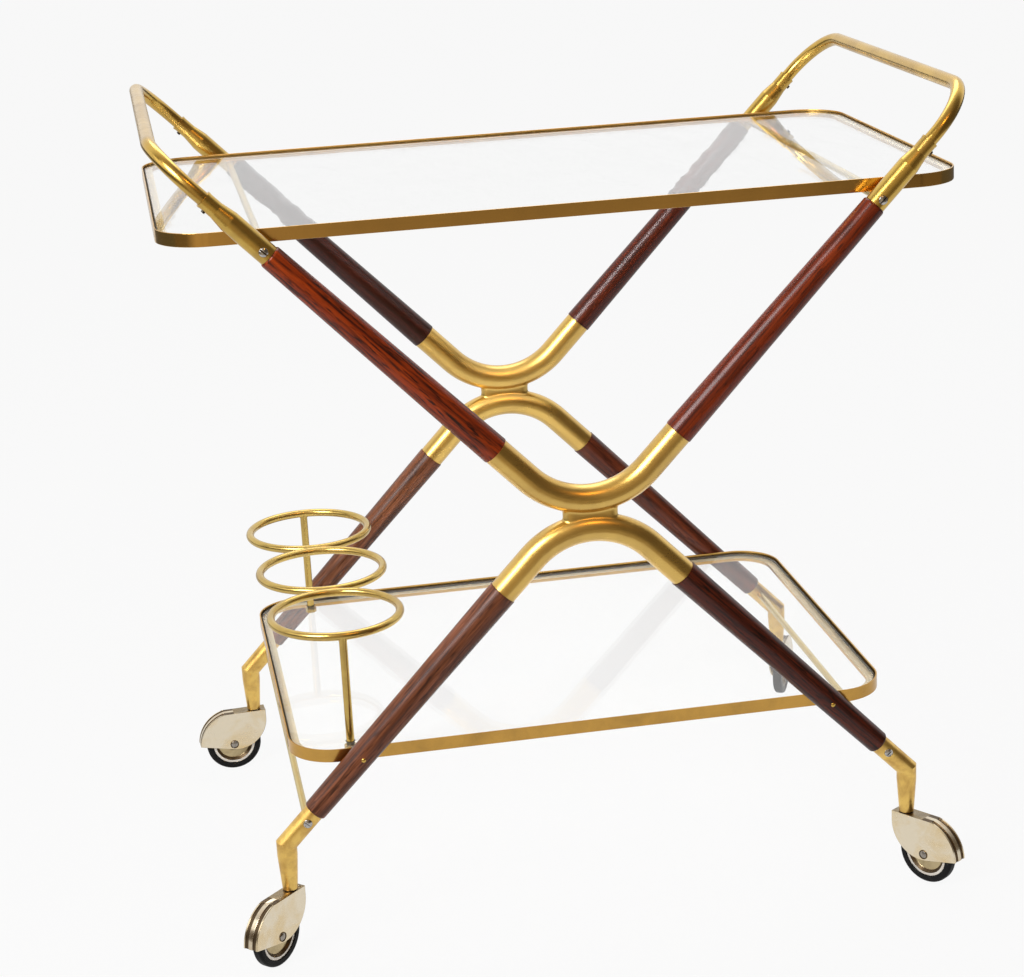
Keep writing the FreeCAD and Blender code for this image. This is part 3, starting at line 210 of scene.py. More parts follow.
class CartColours(bpy.types.PropertyGroup):
    """Colours of the cart's finishes."""

    def colour(name, description, default):
        return bpy.props.FloatVectorProperty(
            name=name, description=description, default=default, size=4, subtype="COLOR", min=0, max=1
        )

    wood_pore: colour("Wood pores", "Pores and dark streaks of the mahogany", (0.010, 0.0024, 0.0014, 1))
    wood_deep: colour("Deep wood", "Ground of the darkest rods", (0.021, 0.0044, 0.0026, 1))
    wood_deep_band: colour("Deep wood band", "Light bands of the darkest rods", (0.048, 0.0092, 0.0046, 1))
    wood_red: colour("Red wood", "Ground of the reddest rods", (0.175, 0.0165, 0.0003, 1))
    wood_red_band: colour("Red wood band", "Light bands of the reddest rods", (0.38, 0.046, 0.0012, 1))
    wood_brown: colour("Brown wood", "Ground of the browner rods", (0.110, 0.034, 0.0120, 1))
    wood_brown_band: colour("Brown wood band", "Light bands of the browner rods", (0.30, 0.105, 0.046, 1))
    brass_satin: colour("Brass, satin", "Bent tubes, and hoods worn to the brass", (0.80, 0.52, 0.13, 1))
    brass_handle: colour("Brass, handles", "Handles and tray pins", (0.72, 0.46, 0.095, 1))
    brass_ferrule: colour("Brass, ferrules", "Ferrules of the handles", (0.72, 0.47, 0.10, 1))
    brass_rod: colour("Brass, stretchers", "Stretchers", (0.72, 0.56, 0.22, 1))
    brass_ring: colour("Brass, rings", "Bottle rings and their posts", (0.66, 0.46, 0.13, 1))
    brass_elbow: colour("Brass, elbows", "Foot elbows", (0.95, 0.63, 0.17, 1))
    brass_brown: colour("Brass, brown", "Orange-brown stains", (0.42, 0.20, 0.055, 1))
    # On the rivet heads this colour is a painted shadow ring.
    brass_seam: colour("Brass, seams", "Mitred seams, rivet edges and dark wear", (0.10, 0.062, 0.026, 1))
    brass_aged: colour("Brass, aged", "Tarnish of the brass", (0.30, 0.17, 0.055, 1))
    brass_rim: colour("Brass, rims", "Top rim, and the inside of both rims", (0.80, 0.48, 0.13, 1))
    # Painted shade: the rim brass made darker for the lower rim.
    brass_low_rim: colour("Brass, lower rim", "Outer band of the lower rim", (0.66, 0.37, 0.082, 1))
    flange: colour("Flange, top", "Dull flange under the top glass", (0.76, 0.66, 0.45, 1))
    flange_low: colour("Flange, lower", "Dull flange under the lower glass", (0.58, 0.50, 0.32, 1))
    # The lower flange's darker colour toward the right end.
    flange_worn: colour("Flange, worn", "Lower flange at the right end", (0.38, 0.29, 0.14, 1))
    # Painted shade: the grooves of the hoods and the slopes and rounded edges of the wheel discs take this
    # dark colour.
    groove: colour("Hood grooves", "Grooves of the hoods and slopes of the discs", (0.13, 0.088, 0.048, 1))
    # The bead's own bright nickel, made whiter in part as a painted highlight.
    bead: colour("Bead", "Bright beads of the wheel discs", (0.90, 0.86, 0.78, 1))
    # Painted highlight: the hood ridges are painted this light nickel.
    ridge: colour("Ridge", "Bright ridges of the hoods", (0.80, 0.71, 0.54, 1))
    rivet: colour("Rivets", "Axle rivets", (0.42, 0.38, 0.33, 1))
    # Painted shade: the hood tops take this dark brown for the shade and dark reflection around the stems;
    # the rounded hood edges share it.
    plate: colour("Top plate", "Worn top and edges of the hoods", (0.36, 0.28, 0.17, 1))
    # The dish's darker tone is partly painted shade of the recess.
    dish: colour("Wheel dish", "Dish of the wheel discs", (0.58, 0.46, 0.26, 1))
    nickel: colour("Nickel", "Plating of the hoods", (0.91, 0.80, 0.61, 1))
    steel: colour("Steel", "Screw heads", (0.58, 0.56, 0.54, 1))
    # In the screw slots this colour is painted shade.
    steel_dark: colour("Dark steel", "Caster stems, set screws and screw slots", (0.045, 0.038, 0.032, 1))
    rubber: colour("Rubber", "Tyres", (0.0075, 0.0072, 0.0075, 1))
    rubber_dust: colour("Tyre dust", "Grey dust on the tyres", (0.05, 0.046, 0.042, 1))
    glass_clear: colour("Glass, clear", "Clean glass", (0.99, 0.993, 0.99, 1))
    glass_film: colour("Glass, smeared", "Smears on the glass", (0.98, 0.983, 0.98, 1))
    # Painted shade: the glass edges and a thin strip along them are painted dark brown with pale grit, for
    # the shade seen looking into the edge.
    glass_grit: colour("Glass grit", "Pale grit of the ground glass edge", (0.12, 0.12, 0.09, 1))
    glass_edge: colour("Glass edge", "Ground edge of the glass", (0.045, 0.036, 0.020, 1))
    floor: colour("Floor", "Pale studio floor", (0.46, 0.455, 0.45, 1))
    backdrop: colour("Backdrop", "White backdrop, as bright as the floor", (0.938, 0.938, 0.938, 1))
    room_dim: colour("Room, dim", "Dark parts of the room around the camera", (0.060, 0.045, 0.030, 1))
    room_light: colour("Room, light", "Light parts of the room around the camera", (0.46, 0.37, 0.26, 1))
    soft_light: colour("Light, soft", "Light from all around", (1.0, 0.98, 0.96, 1))
    white_light: colour("Light, white", "Left and top softboxes", (1.0, 1.0, 1.0, 1))
    key_light: colour("Light, key", "Key softbox", (0.95, 0.97, 1.0, 1))
    lamp_light: colour("Light, lamps", "Warm lamps of the room", (1.0, 0.48, 0.08, 1))


class CartSizes(bpy.types.PropertyGroup):
    """Sizes of the small details and of the studio."""

    def length(name, description, default):
        return bpy.props.FloatProperty(
            name=name, description=description, default=default, min=0, unit="LENGTH", precision=5
        )

    edge_round: length("Edge rounding", "Width of the rounded edges of hoods and fittings", 0.00035)
    rim_round: length("Rim rounding", "Width of the rounded edges of the tray rims", 0.0004)
    tube_round: length("Tube end rounding", "Width of the rounded ends of the bent tubes", 0.0006)
    screw_round: length("Screw rounding", "Width of the rounded edges of the screws", 0.00015)
    metal_waves: length("Metal waves", "Depth of the unevenness of the metal", 0.0008)
    glass_waves: length("Glass waves", "Depth of the waves of the old glass", 0.0006)
    rubber_grain: length("Rubber grain", "Depth of the grain of the tyres", 0.0002)
    # Where the lower flange begins to turn darker toward the right end, and where it is fully darker.
    darkening_start: length("Wear start", "Where wear of the lower flange begins, right of the middle", 0.10)
    darkening_full: length("Wear, full", "Where the lower flange is fully worn, right of the middle", 0.30)
    saddle_reach: length("Saddle braze reach", "Half length of the brazed part at a crossing", 0.032)
    saddle_depth: length("Saddle braze depth", "Half height of the brazed part at a crossing", 0.016)
    saddle_grain: length("Saddle braze grain", "Mesh size of the braze at a crossing", 0.0008)
    post_reach: length("Post braze reach", "Half width of the brazed part at a post", 0.009)
    post_depth: length("Post braze depth", "Height of the brazed part at a post", 0.012)
    post_grain: length("Post braze grain", "Mesh size of the braze at a post", 0.00045)
    nut_radius: length("Post nut radius", "Nuts under the glass, the widest part of the posts", 0.0055)
    ferrule_barrel: length("Ferrule barrel", "Length of a ferrule's barrel", 0.042)
    ferrule_cone: length("Ferrule cone", "Length of a ferrule's cone", 0.0135)
    screw_slot: length("Screw slot", "Depth of the slots in the stretcher screws", 0.001)
    ridge_half: length("Ridge half width", "Half width of the ridge on a hood", 0.0022)
    groove_half: length("Groove edge", "Outer edges of the hood grooves from the middle", 0.0057)
    groove_start: length("Groove start", "How far behind the axle the lines on a hood begin", 0.0020)
    groove_reach: length("Groove reach", "Floor of the hood grooves from the axle", 0.0336)
    groove_band: length("Groove band", "How far a face may lie off the groove floor", 0.0004)
    ridge_step: length("Ridge step", "Least height of the ridge over the groove floor", 0.0003)
    top_step: length("Top step", "How far the top of a hood may lie under the groove floor", 0.001)
    # Width of the painted shadow ring around a rivet head.
    rivet_shadow_width: length("Rivet edge", "Width of the dark edge of a rivet head", 0.0018)
    disc_bead: length("Disc bead", "Inner radius of the bright bead of a wheel disc", 0.0190)
    disc_dish: length("Disc dish", "Inner radius of the dark slope beside the bead", 0.0163)
    # Width of the painted shade strip along the glass edge.
    glass_arris: length("Glass arris", "Width of the dark line along the glass edge", 0.0008)
    glass_lift: length("Glass lift", "Air under the glass where it lies on its flange", 0.0002)
    floor_half: length("Floor half width", "Half width of the studio floor", 30.0)
    floor_front: length("Floor front", "How far toward the camera the metal sees the floor", 0.90)
    floor_bright: length("Bright floor", "Half width of the floor that is bright in the metal", 1.5)
    floor_fade: length("Floor fade", "Width over which the bright floor fades", 0.4)


def colours():
    """The colours set in the sidebar."""
    return bpy.context.scene.cart_colours


def sizes():
    """The sizes set in the sidebar."""
    return bpy.context.scene.cart_sizes


def add_node(tree, kind, **values):
    """Adds a node; values fill its inputs by name, spaces written as underscores."""
    node = tree.nodes.new(kind)
    for name, value in values.items():
        node.inputs[name.replace("_", " ")].default_value = value
    return node


def join(tree, source, target):
    tree.links.new(source, target)


def math_node(tree, operation, first, second=None, clamp=False):
    """Arithmetic on one or two values, each a number or a socket."""
    node = tree.nodes.new("ShaderNodeMath")
    node.operation = operation
    node.use_clamp = clamp
    for socket, value in zip(node.inputs, (first, second)):
        if isinstance(value, (int, float)):
            socket.default_value = value
        elif value is not None:
            join(tree, value, socket)
    return node.outputs[0]


def map_range(tree, value, low, high, to_low=0.0, to_high=1.0):
    """A value carried from one range to another and held inside it."""
    node = add_node(tree, "ShaderNodeMapRange")
    join(tree, value, node.inputs["Value"])
    for name, number in (("From Min", low), ("From Max", high), ("To Min", to_low), ("To Max", to_high)):
        node.inputs[name].default_value = number
    return node.outputs["Result"]


def mix_colour(tree, factor, first, second):
    """A mix of two colours, each a colour or a socket."""
    node = tree.nodes.new("ShaderNodeMix")
    node.data_type = "RGBA"
    node.clamp_factor = True
    for name, value in (("Factor_Float", factor), ("A_Color", first), ("B_Color", second)):
        socket = next(item for item in node.inputs if item.identifier == name)
        if isinstance(value, bpy.types.NodeSocket):
            join(tree, value, socket)
        else:
            socket.default_value = value
    return next(item for item in node.outputs if item.identifier == "Result_Color")


def ramp(tree, value, stops):
    """A level that follows a row of stops, each a place and a level."""
    node = tree.nodes.new("ShaderNodeValToRGB")
    elements = node.color_ramp.elements
    for place, level in stops[1:-1]:
        elements.new(place).color = (level, level, level, 1)
    for index in (0, -1):
        place, level = stops[index]
        elements[index].position = place
        elements[index].color = (level, level, level, 1)
    join(tree, value, node.inputs["Fac"])
    return node.outputs["Color"]


def mix_shaders(tree, share, first, second):
    """A mix of two shaders with the given share of the second."""
    node = tree.nodes.new("ShaderNodeMixShader")
    for socket, source in zip(node.inputs, (share, first, second)):
        join(tree, source, socket)
    return node.outputs[0]


def surface_input(tree):
    """Where the material of that tree takes its surface from."""
    return next(node for node in tree.nodes if node.type == "OUTPUT_MATERIAL").inputs["Surface"]


def xyz(tree, vector):
    """The X, Y and Z of a vector, by name."""
    node = tree.nodes.new("ShaderNodeSeparateXYZ")
    join(tree, vector, node.inputs["Vector"])
    return node.outputs


def stretched(tree, vector, stretch):
    """Coordinates scaled along each axis."""
    node = tree.nodes.new("ShaderNodeMapping")
    join(tree, vector, node.inputs["Vector"])
    if isinstance(stretch, bpy.types.NodeSocket):
        join(tree, stretch, node.inputs["Scale"])
    else:
        node.inputs["Scale"].default_value = stretch
    return node.outputs["Vector"]


def noise(tree, vector, scale, detail=4.0, roughness=0.55, distortion=0.0):
    """Cloudy noise around one half."""
    node = add_node(tree, "ShaderNodeTexNoise", Detail=detail, Roughness=roughness, Distortion=distortion)
    join(tree, vector, node.inputs["Vector"])
    if isinstance(scale, bpy.types.NodeSocket):
        join(tree, scale, node.inputs["Scale"])
    else:
        node.inputs["Scale"].default_value = scale
    return node.outputs["Fac"]


def new_group(name, inputs, outputs):
    """A shader node group with named sockets; returns the group, its input node and its output node."""
    group = bpy.data.node_groups.new(name, "ShaderNodeTree")
    for label, kind, default in inputs:
        socket = group.interface.new_socket(label, in_out="INPUT", socket_type=kind)
        if default is not None:
            socket.default_value = default
    for label, kind in outputs:
        group.interface.new_socket(label, in_out="OUTPUT", socket_type=kind)
    return group, group.nodes.new("NodeGroupInput"), group.nodes.new("NodeGroupOutput")


def wood_grain_group():
    """Straight mahogany grain along X: colour bands, long dark streaks and short pores."""
    group, start, end = new_group(
        "Wood grain",
        [
            ("Vector", "NodeSocketVector", None),
            ("Dark", "NodeSocketColor", (0.02, 0.005, 0.003, 1)),
            ("Middle", "NodeSocketColor", (0.09, 0.02, 0.01, 1)),
            ("Light", "NodeSocketColor", (0.2, 0.05, 0.02, 1)),
            ("Streaks", "NodeSocketFloat", 0.6),
        ],
        [("Color", "NodeSocketColor"), ("Roughness", "NodeSocketFloat")],
    )
    vector = start.outputs["Vector"]
    dark = start.outputs["Dark"]
    streak_share = start.outputs["Streaks"]
    band_places = stretched(group, vector, (9, 150, 150))
    bands = noise(group, band_places, 1.0, detail=5.0, roughness=0.62, distortion=0.4)
    streaks = noise(group, stretched(group, vector, (22, 420, 420)), 1.0, detail=3.0)
    pores = noise(group, stretched(group, vector, (60, 520, 520)), 1.0, detail=2.0, roughness=0.5)
    band_mask = map_range(group, bands, 0.36, 0.66)
    streak_mask = map_range(group, streaks, 0.46, 0.66)
    pore_mask = map_range(group, pores, 0.55, 0.68)
    colour = mix_colour(group, band_mask, start.outputs["Middle"], start.outputs["Light"])
    for mask in (streak_mask, pore_mask):
        colour = mix_colour(group, math_node(group, "MULTIPLY", mask, streak_share), colour, dark)
    join(group, colour, end.inputs["Color"])
    pore_roughness = math_node(group, "MULTIPLY", pore_mask, 0.16)
    rough = math_node(group, "ADD", map_range(group, streaks, 0.3, 0.7, 0.27, 0.40), pore_roughness)
    join(group, rough, end.inputs["Roughness"])
    return group


def brushed_group():
    """Fine polishing lines along the stretched direction, faint smudges and a slow unevenness."""
    group, start, end = new_group(
        "Brushed metal",
        [
            ("Vector", "NodeSocketVector", None),
            ("Stretch", "NodeSocketVector", (30, 900, 900)),
            ("Smooth", "NodeSocketFloat", 0.2),
            ("Rough", "NodeSocketFloat", 0.35),
        ],
        [("Roughness", "NodeSocketFloat"), ("Waves", "NodeSocketFloat")],
    )
    vector = start.outputs["Vector"]
    lines = noise(group, stretched(group, vector, start.outputs["Stretch"]), 1.0, detail=3.0, roughness=0.7)
    cloud = noise(group, vector, 38.0, roughness=0.6)
    line_share = math_node(group, "MULTIPLY", lines, 0.55)
    cloud_share = math_node(group, "MULTIPLY", cloud, 0.45)
    mask = map_range(group, math_node(group, "ADD", line_share, cloud_share), 0.34, 0.66)
    span = math_node(group, "SUBTRACT", start.outputs["Rough"], start.outputs["Smooth"])
    added = math_node(group, "MULTIPLY", mask, span)
    join(group, math_node(group, "ADD", added, start.outputs["Smooth"]), end.inputs["Roughness"])
    join(group, noise(group, vector, 42.0, detail=2.0, roughness=0.4), end.inputs["Waves"])
    return group


def patina_group():
    """Cloudy tarnish with small dark specks over a clean metal colour."""
    group, start, end = new_group(
        "Patina",
        [
            ("Vector", "NodeSocketVector", None),
            ("Scale", "NodeSocketFloat", 20.0),
            ("Clean", "NodeSocketColor", (0.8, 0.6, 0.3, 1)),
            ("Aged", "NodeSocketColor", (0.3, 0.18, 0.06, 1)),
            ("Amount", "NodeSocketFloat", 0.5),
            ("Specks", "NodeSocketFloat", 0.3),
        ],
        [("Color", "NodeSocketColor"), ("Mask", "NodeSocketFloat")],
    )
    vector = start.outputs["Vector"]
    cloud = noise(group, vector, start.outputs["Scale"], detail=6.0, roughness=0.62, distortion=0.4)
    specks = noise(group, vector, 900.0, detail=2.0, roughness=0.5)
    cloud_mask = math_node(group, "MULTIPLY", map_range(group, cloud, 0.42, 0.72), start.outputs["Amount"])
    speck_mask = math_node(group, "MULTIPLY", map_range(group, specks, 0.66, 0.74), start.outputs["Specks"])
    faint_specks = math_node(group, "MULTIPLY", speck_mask, 0.6)
    total = math_node(group, "ADD", cloud_mask, faint_specks, clamp=True)
    colour = mix_colour(group, total, start.outputs["Clean"], start.outputs["Aged"])
    join(group, colour, end.inputs["Color"])
    join(group, total, end.inputs["Mask"])
    return group


def shared_group(name):
    """The node group of that name, built the first time it is asked for."""
    builders = {"Wood grain": wood_grain_group, "Brushed metal": brushed_group, "Patina": patina_group}
    return bpy.data.node_groups.get(name) or builders[name]()


def place_group(tree, name, vector, **values):
    """A node of a shared group, with its inputs set by name."""
    node = tree.nodes.new("ShaderNodeGroup")
    node.node_tree = shared_group(name)
    join(tree, vector, node.inputs["Vector"])
    for label, value in values.items():
        node.inputs[label].default_value = value
    return node


def new_material(name, **settings):
    """A material with one Principled shader; returns it, its tree, the shader and the object coordinates."""
    material = bpy.data.materials.new(name)
    material.use_nodes = True
    tree = material.node_tree
    shader = next(node for node in tree.nodes if node.type == "BSDF_PRINCIPLED")
    for label, value in settings.items():
        shader.inputs[label.replace("_", " ")].default_value = value
    vector = tree.nodes.new("ShaderNodeTexCoord").outputs["Object"]
    return material, tree, shader, vector


def add_bump(tree, shader, height, strength, distance):
    """Lets a height ripple the surface without moving it."""
    bump = add_node(tree, "ShaderNodeBump", Strength=strength, Distance=distance)
    join(tree, height, bump.inputs["Height"])
    join(tree, bump.outputs["Normal"], shader.inputs["Normal"])


def turned(tree, vector, degrees):
    """Coordinates turned about Y so that a sloping leg lies along X."""
    node = tree.nodes.new("ShaderNodeMapping")
    node.inputs["Rotation"].default_value = (0, math.radians(degrees), 0)
    join(tree, vector, node.inputs["Vector"])
    return node.outputs["Vector"]


def blend(first, second, share):
    """A colour that lies the given share of the way from the first to the second."""
    return [a + (b - a) * share for a, b in zip(first, second)]


def mahogany(rod, tone_and_shade, brown, streaks):
    """Varnished mahogany for one rod, with its grain along the leg."""
    tint = colours()
    material, tree, shader, vector = new_material(
        "Mahogany " + rod, Coat_Weight=0.6, Coat_Roughness=0.27, Coat_IOR=1.5, Specular_IOR_Level=0.05
    )
    rising = rod.endswith(("right_upper", "left_lower"))
    # The lightness mixes the wood's own tone with painted shade for the rods that lie in shade.
    ground = blend(blend(tint.wood_deep, tint.wood_red, tone_and_shade), tint.wood_brown, brown)
    band = blend(blend(tint.wood_deep_band, tint.wood_red_band, tone_and_shade), tint.wood_brown_band, brown)
    grain = place_group(tree, "Wood grain", turned(tree, vector, LEG_SLOPE if rising else -LEG_SLOPE),
                        Dark=tint.wood_pore, Middle=ground, Light=band, Streaks=streaks)
    join(tree, grain.outputs["Color"], shader.inputs["Base Color"])
    join(tree, grain.outputs["Roughness"], shader.inputs["Roughness"])
    return material


def darker_to_right(tree, vector, colour, worn):
    """A colour that turns into a darker one toward the right end of the cart."""
    size = sizes()
    share = map_range(tree, xyz(tree, vector)["X"], size.darkening_start, size.darkening_full)
    return mix_colour(tree, share, colour, worn)


def metal(name, clean, aged, amount, scale, specks, stretch, smooth, rough, waves,
          coat=0.0, metallic=1.0, worn=None):
    """Brushed or polished metal with tarnish, by its row in the table of metals."""
    tint = colours()
    material, tree, shader, vector = new_material(
        name, Metallic=metallic, Coat_Weight=coat, Coat_Roughness=0.2, Coat_IOR=1.5
    )
    patina = place_group(tree, "Patina", vector, Scale=scale, Amount=amount, Specks=specks,
                         Clean=getattr(tint, clean), Aged=getattr(tint, aged))
    brushed = place_group(tree, "Brushed metal", vector, Stretch=stretch, Smooth=smooth, Rough=rough)
    colour = patina.outputs["Color"]
    # A finish with a second colour turns darker toward the right end.
    if worn:
        colour = darker_to_right(tree, vector, colour, getattr(tint, worn))
    join(tree, colour, shader.inputs["Base Color"])
    dull = math_node(tree, "MULTIPLY", patina.outputs["Mask"], TARNISH_ROUGHNESS)
    join(tree, math_node(tree, "ADD", brushed.outputs["Roughness"], dull), shader.inputs["Roughness"])
    add_bump(tree, shader, brushed.outputs["Waves"], waves, sizes().metal_waves)
    return material


def rubber(name):
    """Black rubber with some grey dust and a fine grain."""
    tint = colours()
    material, tree, shader, vector = new_material(name, Specular_IOR_Level=0.15)
    dust = noise(tree, vector, 160.0, detail=5.0, roughness=0.6)
    mask = map_range(tree, dust, 0.52, 0.78, to_high=0.3)
    join(tree, mix_colour(tree, mask, tint.rubber, tint.rubber_dust), shader.inputs["Base Color"])
    join(tree, map_range(tree, dust, 0.3, 0.7, 0.36, 0.55), shader.inputs["Roughness"])
    grain = noise(tree, vector, 900.0, detail=3.0)
    add_bump(tree, shader, grain, strength=0.10, distance=sizes().rubber_grain)
    return material


def tray_glass(name, clearness, bending, waviness):
    """Clear old glass with faint smears that lets the lamps through."""
    tint = colours()
    material, tree, shader, vector = new_material(
        name, Transmission_Weight=clearness, IOR=bending, Metallic=0.0
    )
    film = map_range(tree, noise(tree, vector, 24.0, detail=5.0, roughness=0.6), 0.45, 0.80)
    film_roughness = math_node(tree, "MULTIPLY", film, 0.008)
    join(tree, mix_colour(tree, film, tint.glass_clear, tint.glass_film), shader.inputs["Base Color"])
    join(tree, film_roughness, shader.inputs["Roughness"])
    waves = noise(tree, stretched(tree, vector, (30, 9, 9)), 1.0, detail=2.0, roughness=0.4)
    add_bump(tree, shader, waves, waviness, sizes().glass_waves)
    shadow = tree.nodes.new("ShaderNodeLightPath").outputs["Is Shadow Ray"]
    clear = add_node(tree, "ShaderNodeBsdfTransparent")
    join(tree, mix_shaders(tree, shadow, shader.outputs[0], clear.outputs[0]), surface_input(tree))
    return material


def glass_edge(name):
    """Painted shade on the edge of the glass: dark brown with pale grit, as the edge looks when it is looked
    into.
    """
    tint = colours()
    material, tree, shader, vector = new_material(name, Specular_IOR_Level=0.1)
    grit = noise(tree, vector, 420.0, roughness=0.6)
    shade = map_range(tree, grit, 0.40, 0.75, to_high=0.2)
    join(tree, mix_colour(tree, shade, tint.glass_edge, tint.glass_grit), shader.inputs["Base Color"])
    join(tree, map_range(tree, grit, 0.3, 0.7, 0.32, 0.48), shader.inputs["Roughness"])
    return material


def finish(name):
    """The finish of that name, made the first time it is asked for."""
    known = bpy.data.materials.get(name)
    if known:
        return known
    if name in METALS:
        return metal(name, **METALS[name])
    if name in GLASSES:
        return tray_glass(name, **GLASSES[name])
    makers = {"Tyre rubber": rubber, "Glass edge": glass_edge}
    return makers[name](name)


def dress(piece, material_name):
    """Gives one object a single finish."""
    piece.data.materials.clear()
    piece.data.materials.append(finish(material_name))


def dress_nodes(material_name, *names):
    """Gives several CAD nodes the same finish."""
    for name in names:
        dress(frame["nodes"][name], material_name)


def only(piece):
    """Makes one object the sole selected and active one."""
    bpy.ops.object.select_all(action="DESELECT")
    piece.select_set(True)
    bpy.context.view_layer.objects.active = piece


def merged_copy(node_name, suffix):
    """A copy of a CAD node with its doubles merged and its flat faces joined."""
    only(frame["nodes"][node_name])
    bpy.ops.object.duplicate()
    piece = bpy.context.view_layer.objects.active
    piece.name = f"{node_name}_{suffix}"
    piece.parent = None
    for key in list(piece.keys()):
        del piece[key]
    bpy.ops.object.mode_set(mode="EDIT")
    bpy.ops.mesh.select_mode(type="VERT")
    bpy.ops.mesh.select_all(action="SELECT")
    bpy.ops.mesh.remove_doubles(threshold=MERGED)
    bpy.ops.mesh.customdata_custom_splitnormals_clear()
    bpy.ops.mesh.dissolve_limited(angle_limit=math.radians(FLAT_ANGLE))
    bpy.ops.mesh.select_all(action="DESELECT")
    bpy.ops.object.mode_set(mode="OBJECT")
    return piece


def select_only(piece, kind, chosen):
    """Selects those faces or edges of an object that pass a test, and enters edit mode on it."""
    only(piece)
    for group in (piece.data.vertices, piece.data.edges, piece.data.polygons):
        group.foreach_set("select", [False] * len(group))
    for item in piece.data.polygons if kind == "FACE" else piece.data.edges:
        item.select = chosen(item)
    bpy.context.tool_settings.mesh_select_mode = (False, kind == "EDGE", kind == "FACE")
    bpy.ops.object.mode_set(mode="EDIT")


def paint(piece, material_name, chosen):
    """Gives a further finish to the faces whose middle and normal pass a test."""
    piece.data.materials.append(finish(material_name))
    select_only(piece, "FACE", lambda face: chosen(face.center, face.normal))
    piece.active_material_index = len(piece.data.materials) - 1
    bpy.ops.object.material_slot_assign()
    bpy.ops.mesh.select_all(action="DESELECT")
    bpy.ops.object.mode_set(mode="OBJECT")


def split(piece, chosen, point, normal):
    """Divides the faces that pass a test along a plane."""
    select_only(piece, "FACE", lambda face: chosen(face.center, face.normal))
    bpy.ops.mesh.bisect(plane_co=point, plane_no=normal)
    bpy.ops.object.mode_set(mode="OBJECT")


def mark_rings(piece, direction, places):
    """Keeps the edges sharp that lie on rings at those places along an axis, counted from the lower end."""
    spans = [vertex.co.dot(direction) for vertex in piece.data.vertices]
    start = min(spans)

    def on_ring(edge):
        return any(all(abs(spans[end] - start - place) < NEAR for end in edge.vertices) for place in places)

    select_only(piece, "EDGE", on_ring)
    bpy.ops.mesh.mark_sharp()
    bpy.ops.mesh.select_all(action="DESELECT")
    bpy.ops.object.mode_set(mode="OBJECT")


def rounded_copy(node_name, body, width, material_name, angle=EDGE_ANGLE, seam=None, rings=None):
    """A copy of a CAD node with rounded edges that stands for the node.

    Seam is a finish for the rounded edges; rings are an axis and the places along it that stay sharp.
    """
    piece = merged_copy(node_name, "rounded")
    dress(piece, material_name)
    bevel = piece.modifiers.new("Rounded edges", "BEVEL")
    bevel.width = width
    bevel.segments = 2
    bevel.limit_method = "ANGLE"
    bevel.angle_limit = math.radians(angle)
    bevel.use_clamp_overlap = True
    bevel.harden_normals = False
    if seam:
        piece.data.materials.append(finish(seam))
        bevel.material = 1
    bpy.ops.object.modifier_apply(modifier=bevel.name)
    if rings:
        mark_rings(piece, *rings)
    bpy.ops.object.shade_smooth_by_angle(angle=math.radians(SMOOTH_ANGLE), keep_sharp_edges=True)
    flats = piece.modifiers.new("Flat faces", "WEIGHTED_NORMAL")
    flats.keep_sharp = True
    bpy.ops.object.modifier_apply(modifier=flats.name)
    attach(piece, body)
    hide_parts(node_name)
    return piece


def glass_sheet(node_name, material_name):
    """A copy of a glass sheet whose edges and a thin strip along them are painted dark as painted shade, its
    underside just clear of the flange that carries it.
    """
    size = sizes()
    piece = merged_copy(node_name, "sheet")
    dress(piece, material_name)
    select_only(piece, "FACE", lambda face: face.normal.z < -LEVEL)
    bpy.ops.transform.translate(value=(0, 0, size.glass_lift))
    bpy.ops.object.mode_set(mode="OBJECT")
    select_only(piece, "FACE", lambda face: face.normal.z > LEVEL)
    bpy.ops.mesh.inset(thickness=size.glass_arris)
    bpy.ops.object.mode_set(mode="OBJECT")
    upper = {tuple(face.center) for face in piece.data.polygons if face.select}
    paint(piece, material_name + " underside", lambda center, normal: normal.z < -LEVEL)
    # Painted shade on the edge faces and on the inset strip.
    paint(piece, "Glass edge", lambda center, normal: normal.z > -LEVEL and tuple(center) not in upper)
    bpy.ops.object.shade_smooth_by_angle(angle=math.radians(GLASS_SMOOTH_ANGLE))
    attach(piece, "frame")
    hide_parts(node_name)


def clipped_copy(node_name, low, high):
    """The part of a CAD node inside a box, closed where it is cut."""
    piece = merged_copy(node_name, "part")
    bpy.ops.object.mode_set(mode="EDIT")
    for axis in range(3):
        for corner, sign in ((low, -1), (high, 1)):
            normal = [0, 0, 0]
            normal[axis] = sign
            bpy.ops.mesh.select_all(action="SELECT")
            bpy.ops.mesh.bisect(plane_co=corner, plane_no=normal, use_fill=True, clear_outer=True)
    bpy.ops.object.mode_set(mode="OBJECT")
    return piece


def brazed(name, node_names, middle, reach, grain, passes, material_name):
    """One skin over what several nodes have inside a box, its inner corners filled like a braze."""
    parts = [clipped_copy(node_name, middle - reach, middle + reach) for node_name in node_names]
    only(parts[0])
    for part in parts:
        part.select_set(True)
    bpy.ops.object.join()
    piece = bpy.context.view_layer.objects.active
    piece.name = name
    skin = piece.modifiers.new("Skin", "REMESH")
    skin.mode = "VOXEL"
    skin.voxel_size = grain
    bpy.ops.object.modifier_apply(modifier=skin.name)
    fillet = piece.modifiers.new("Fillets", "SMOOTH")
    fillet.factor = 0.5
    fillet.iterations = passes
    bpy.ops.object.modifier_apply(modifier=fillet.name)
    bpy.ops.object.shade_smooth()
    dress(piece, material_name)
    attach(piece, "frame")
    return piece


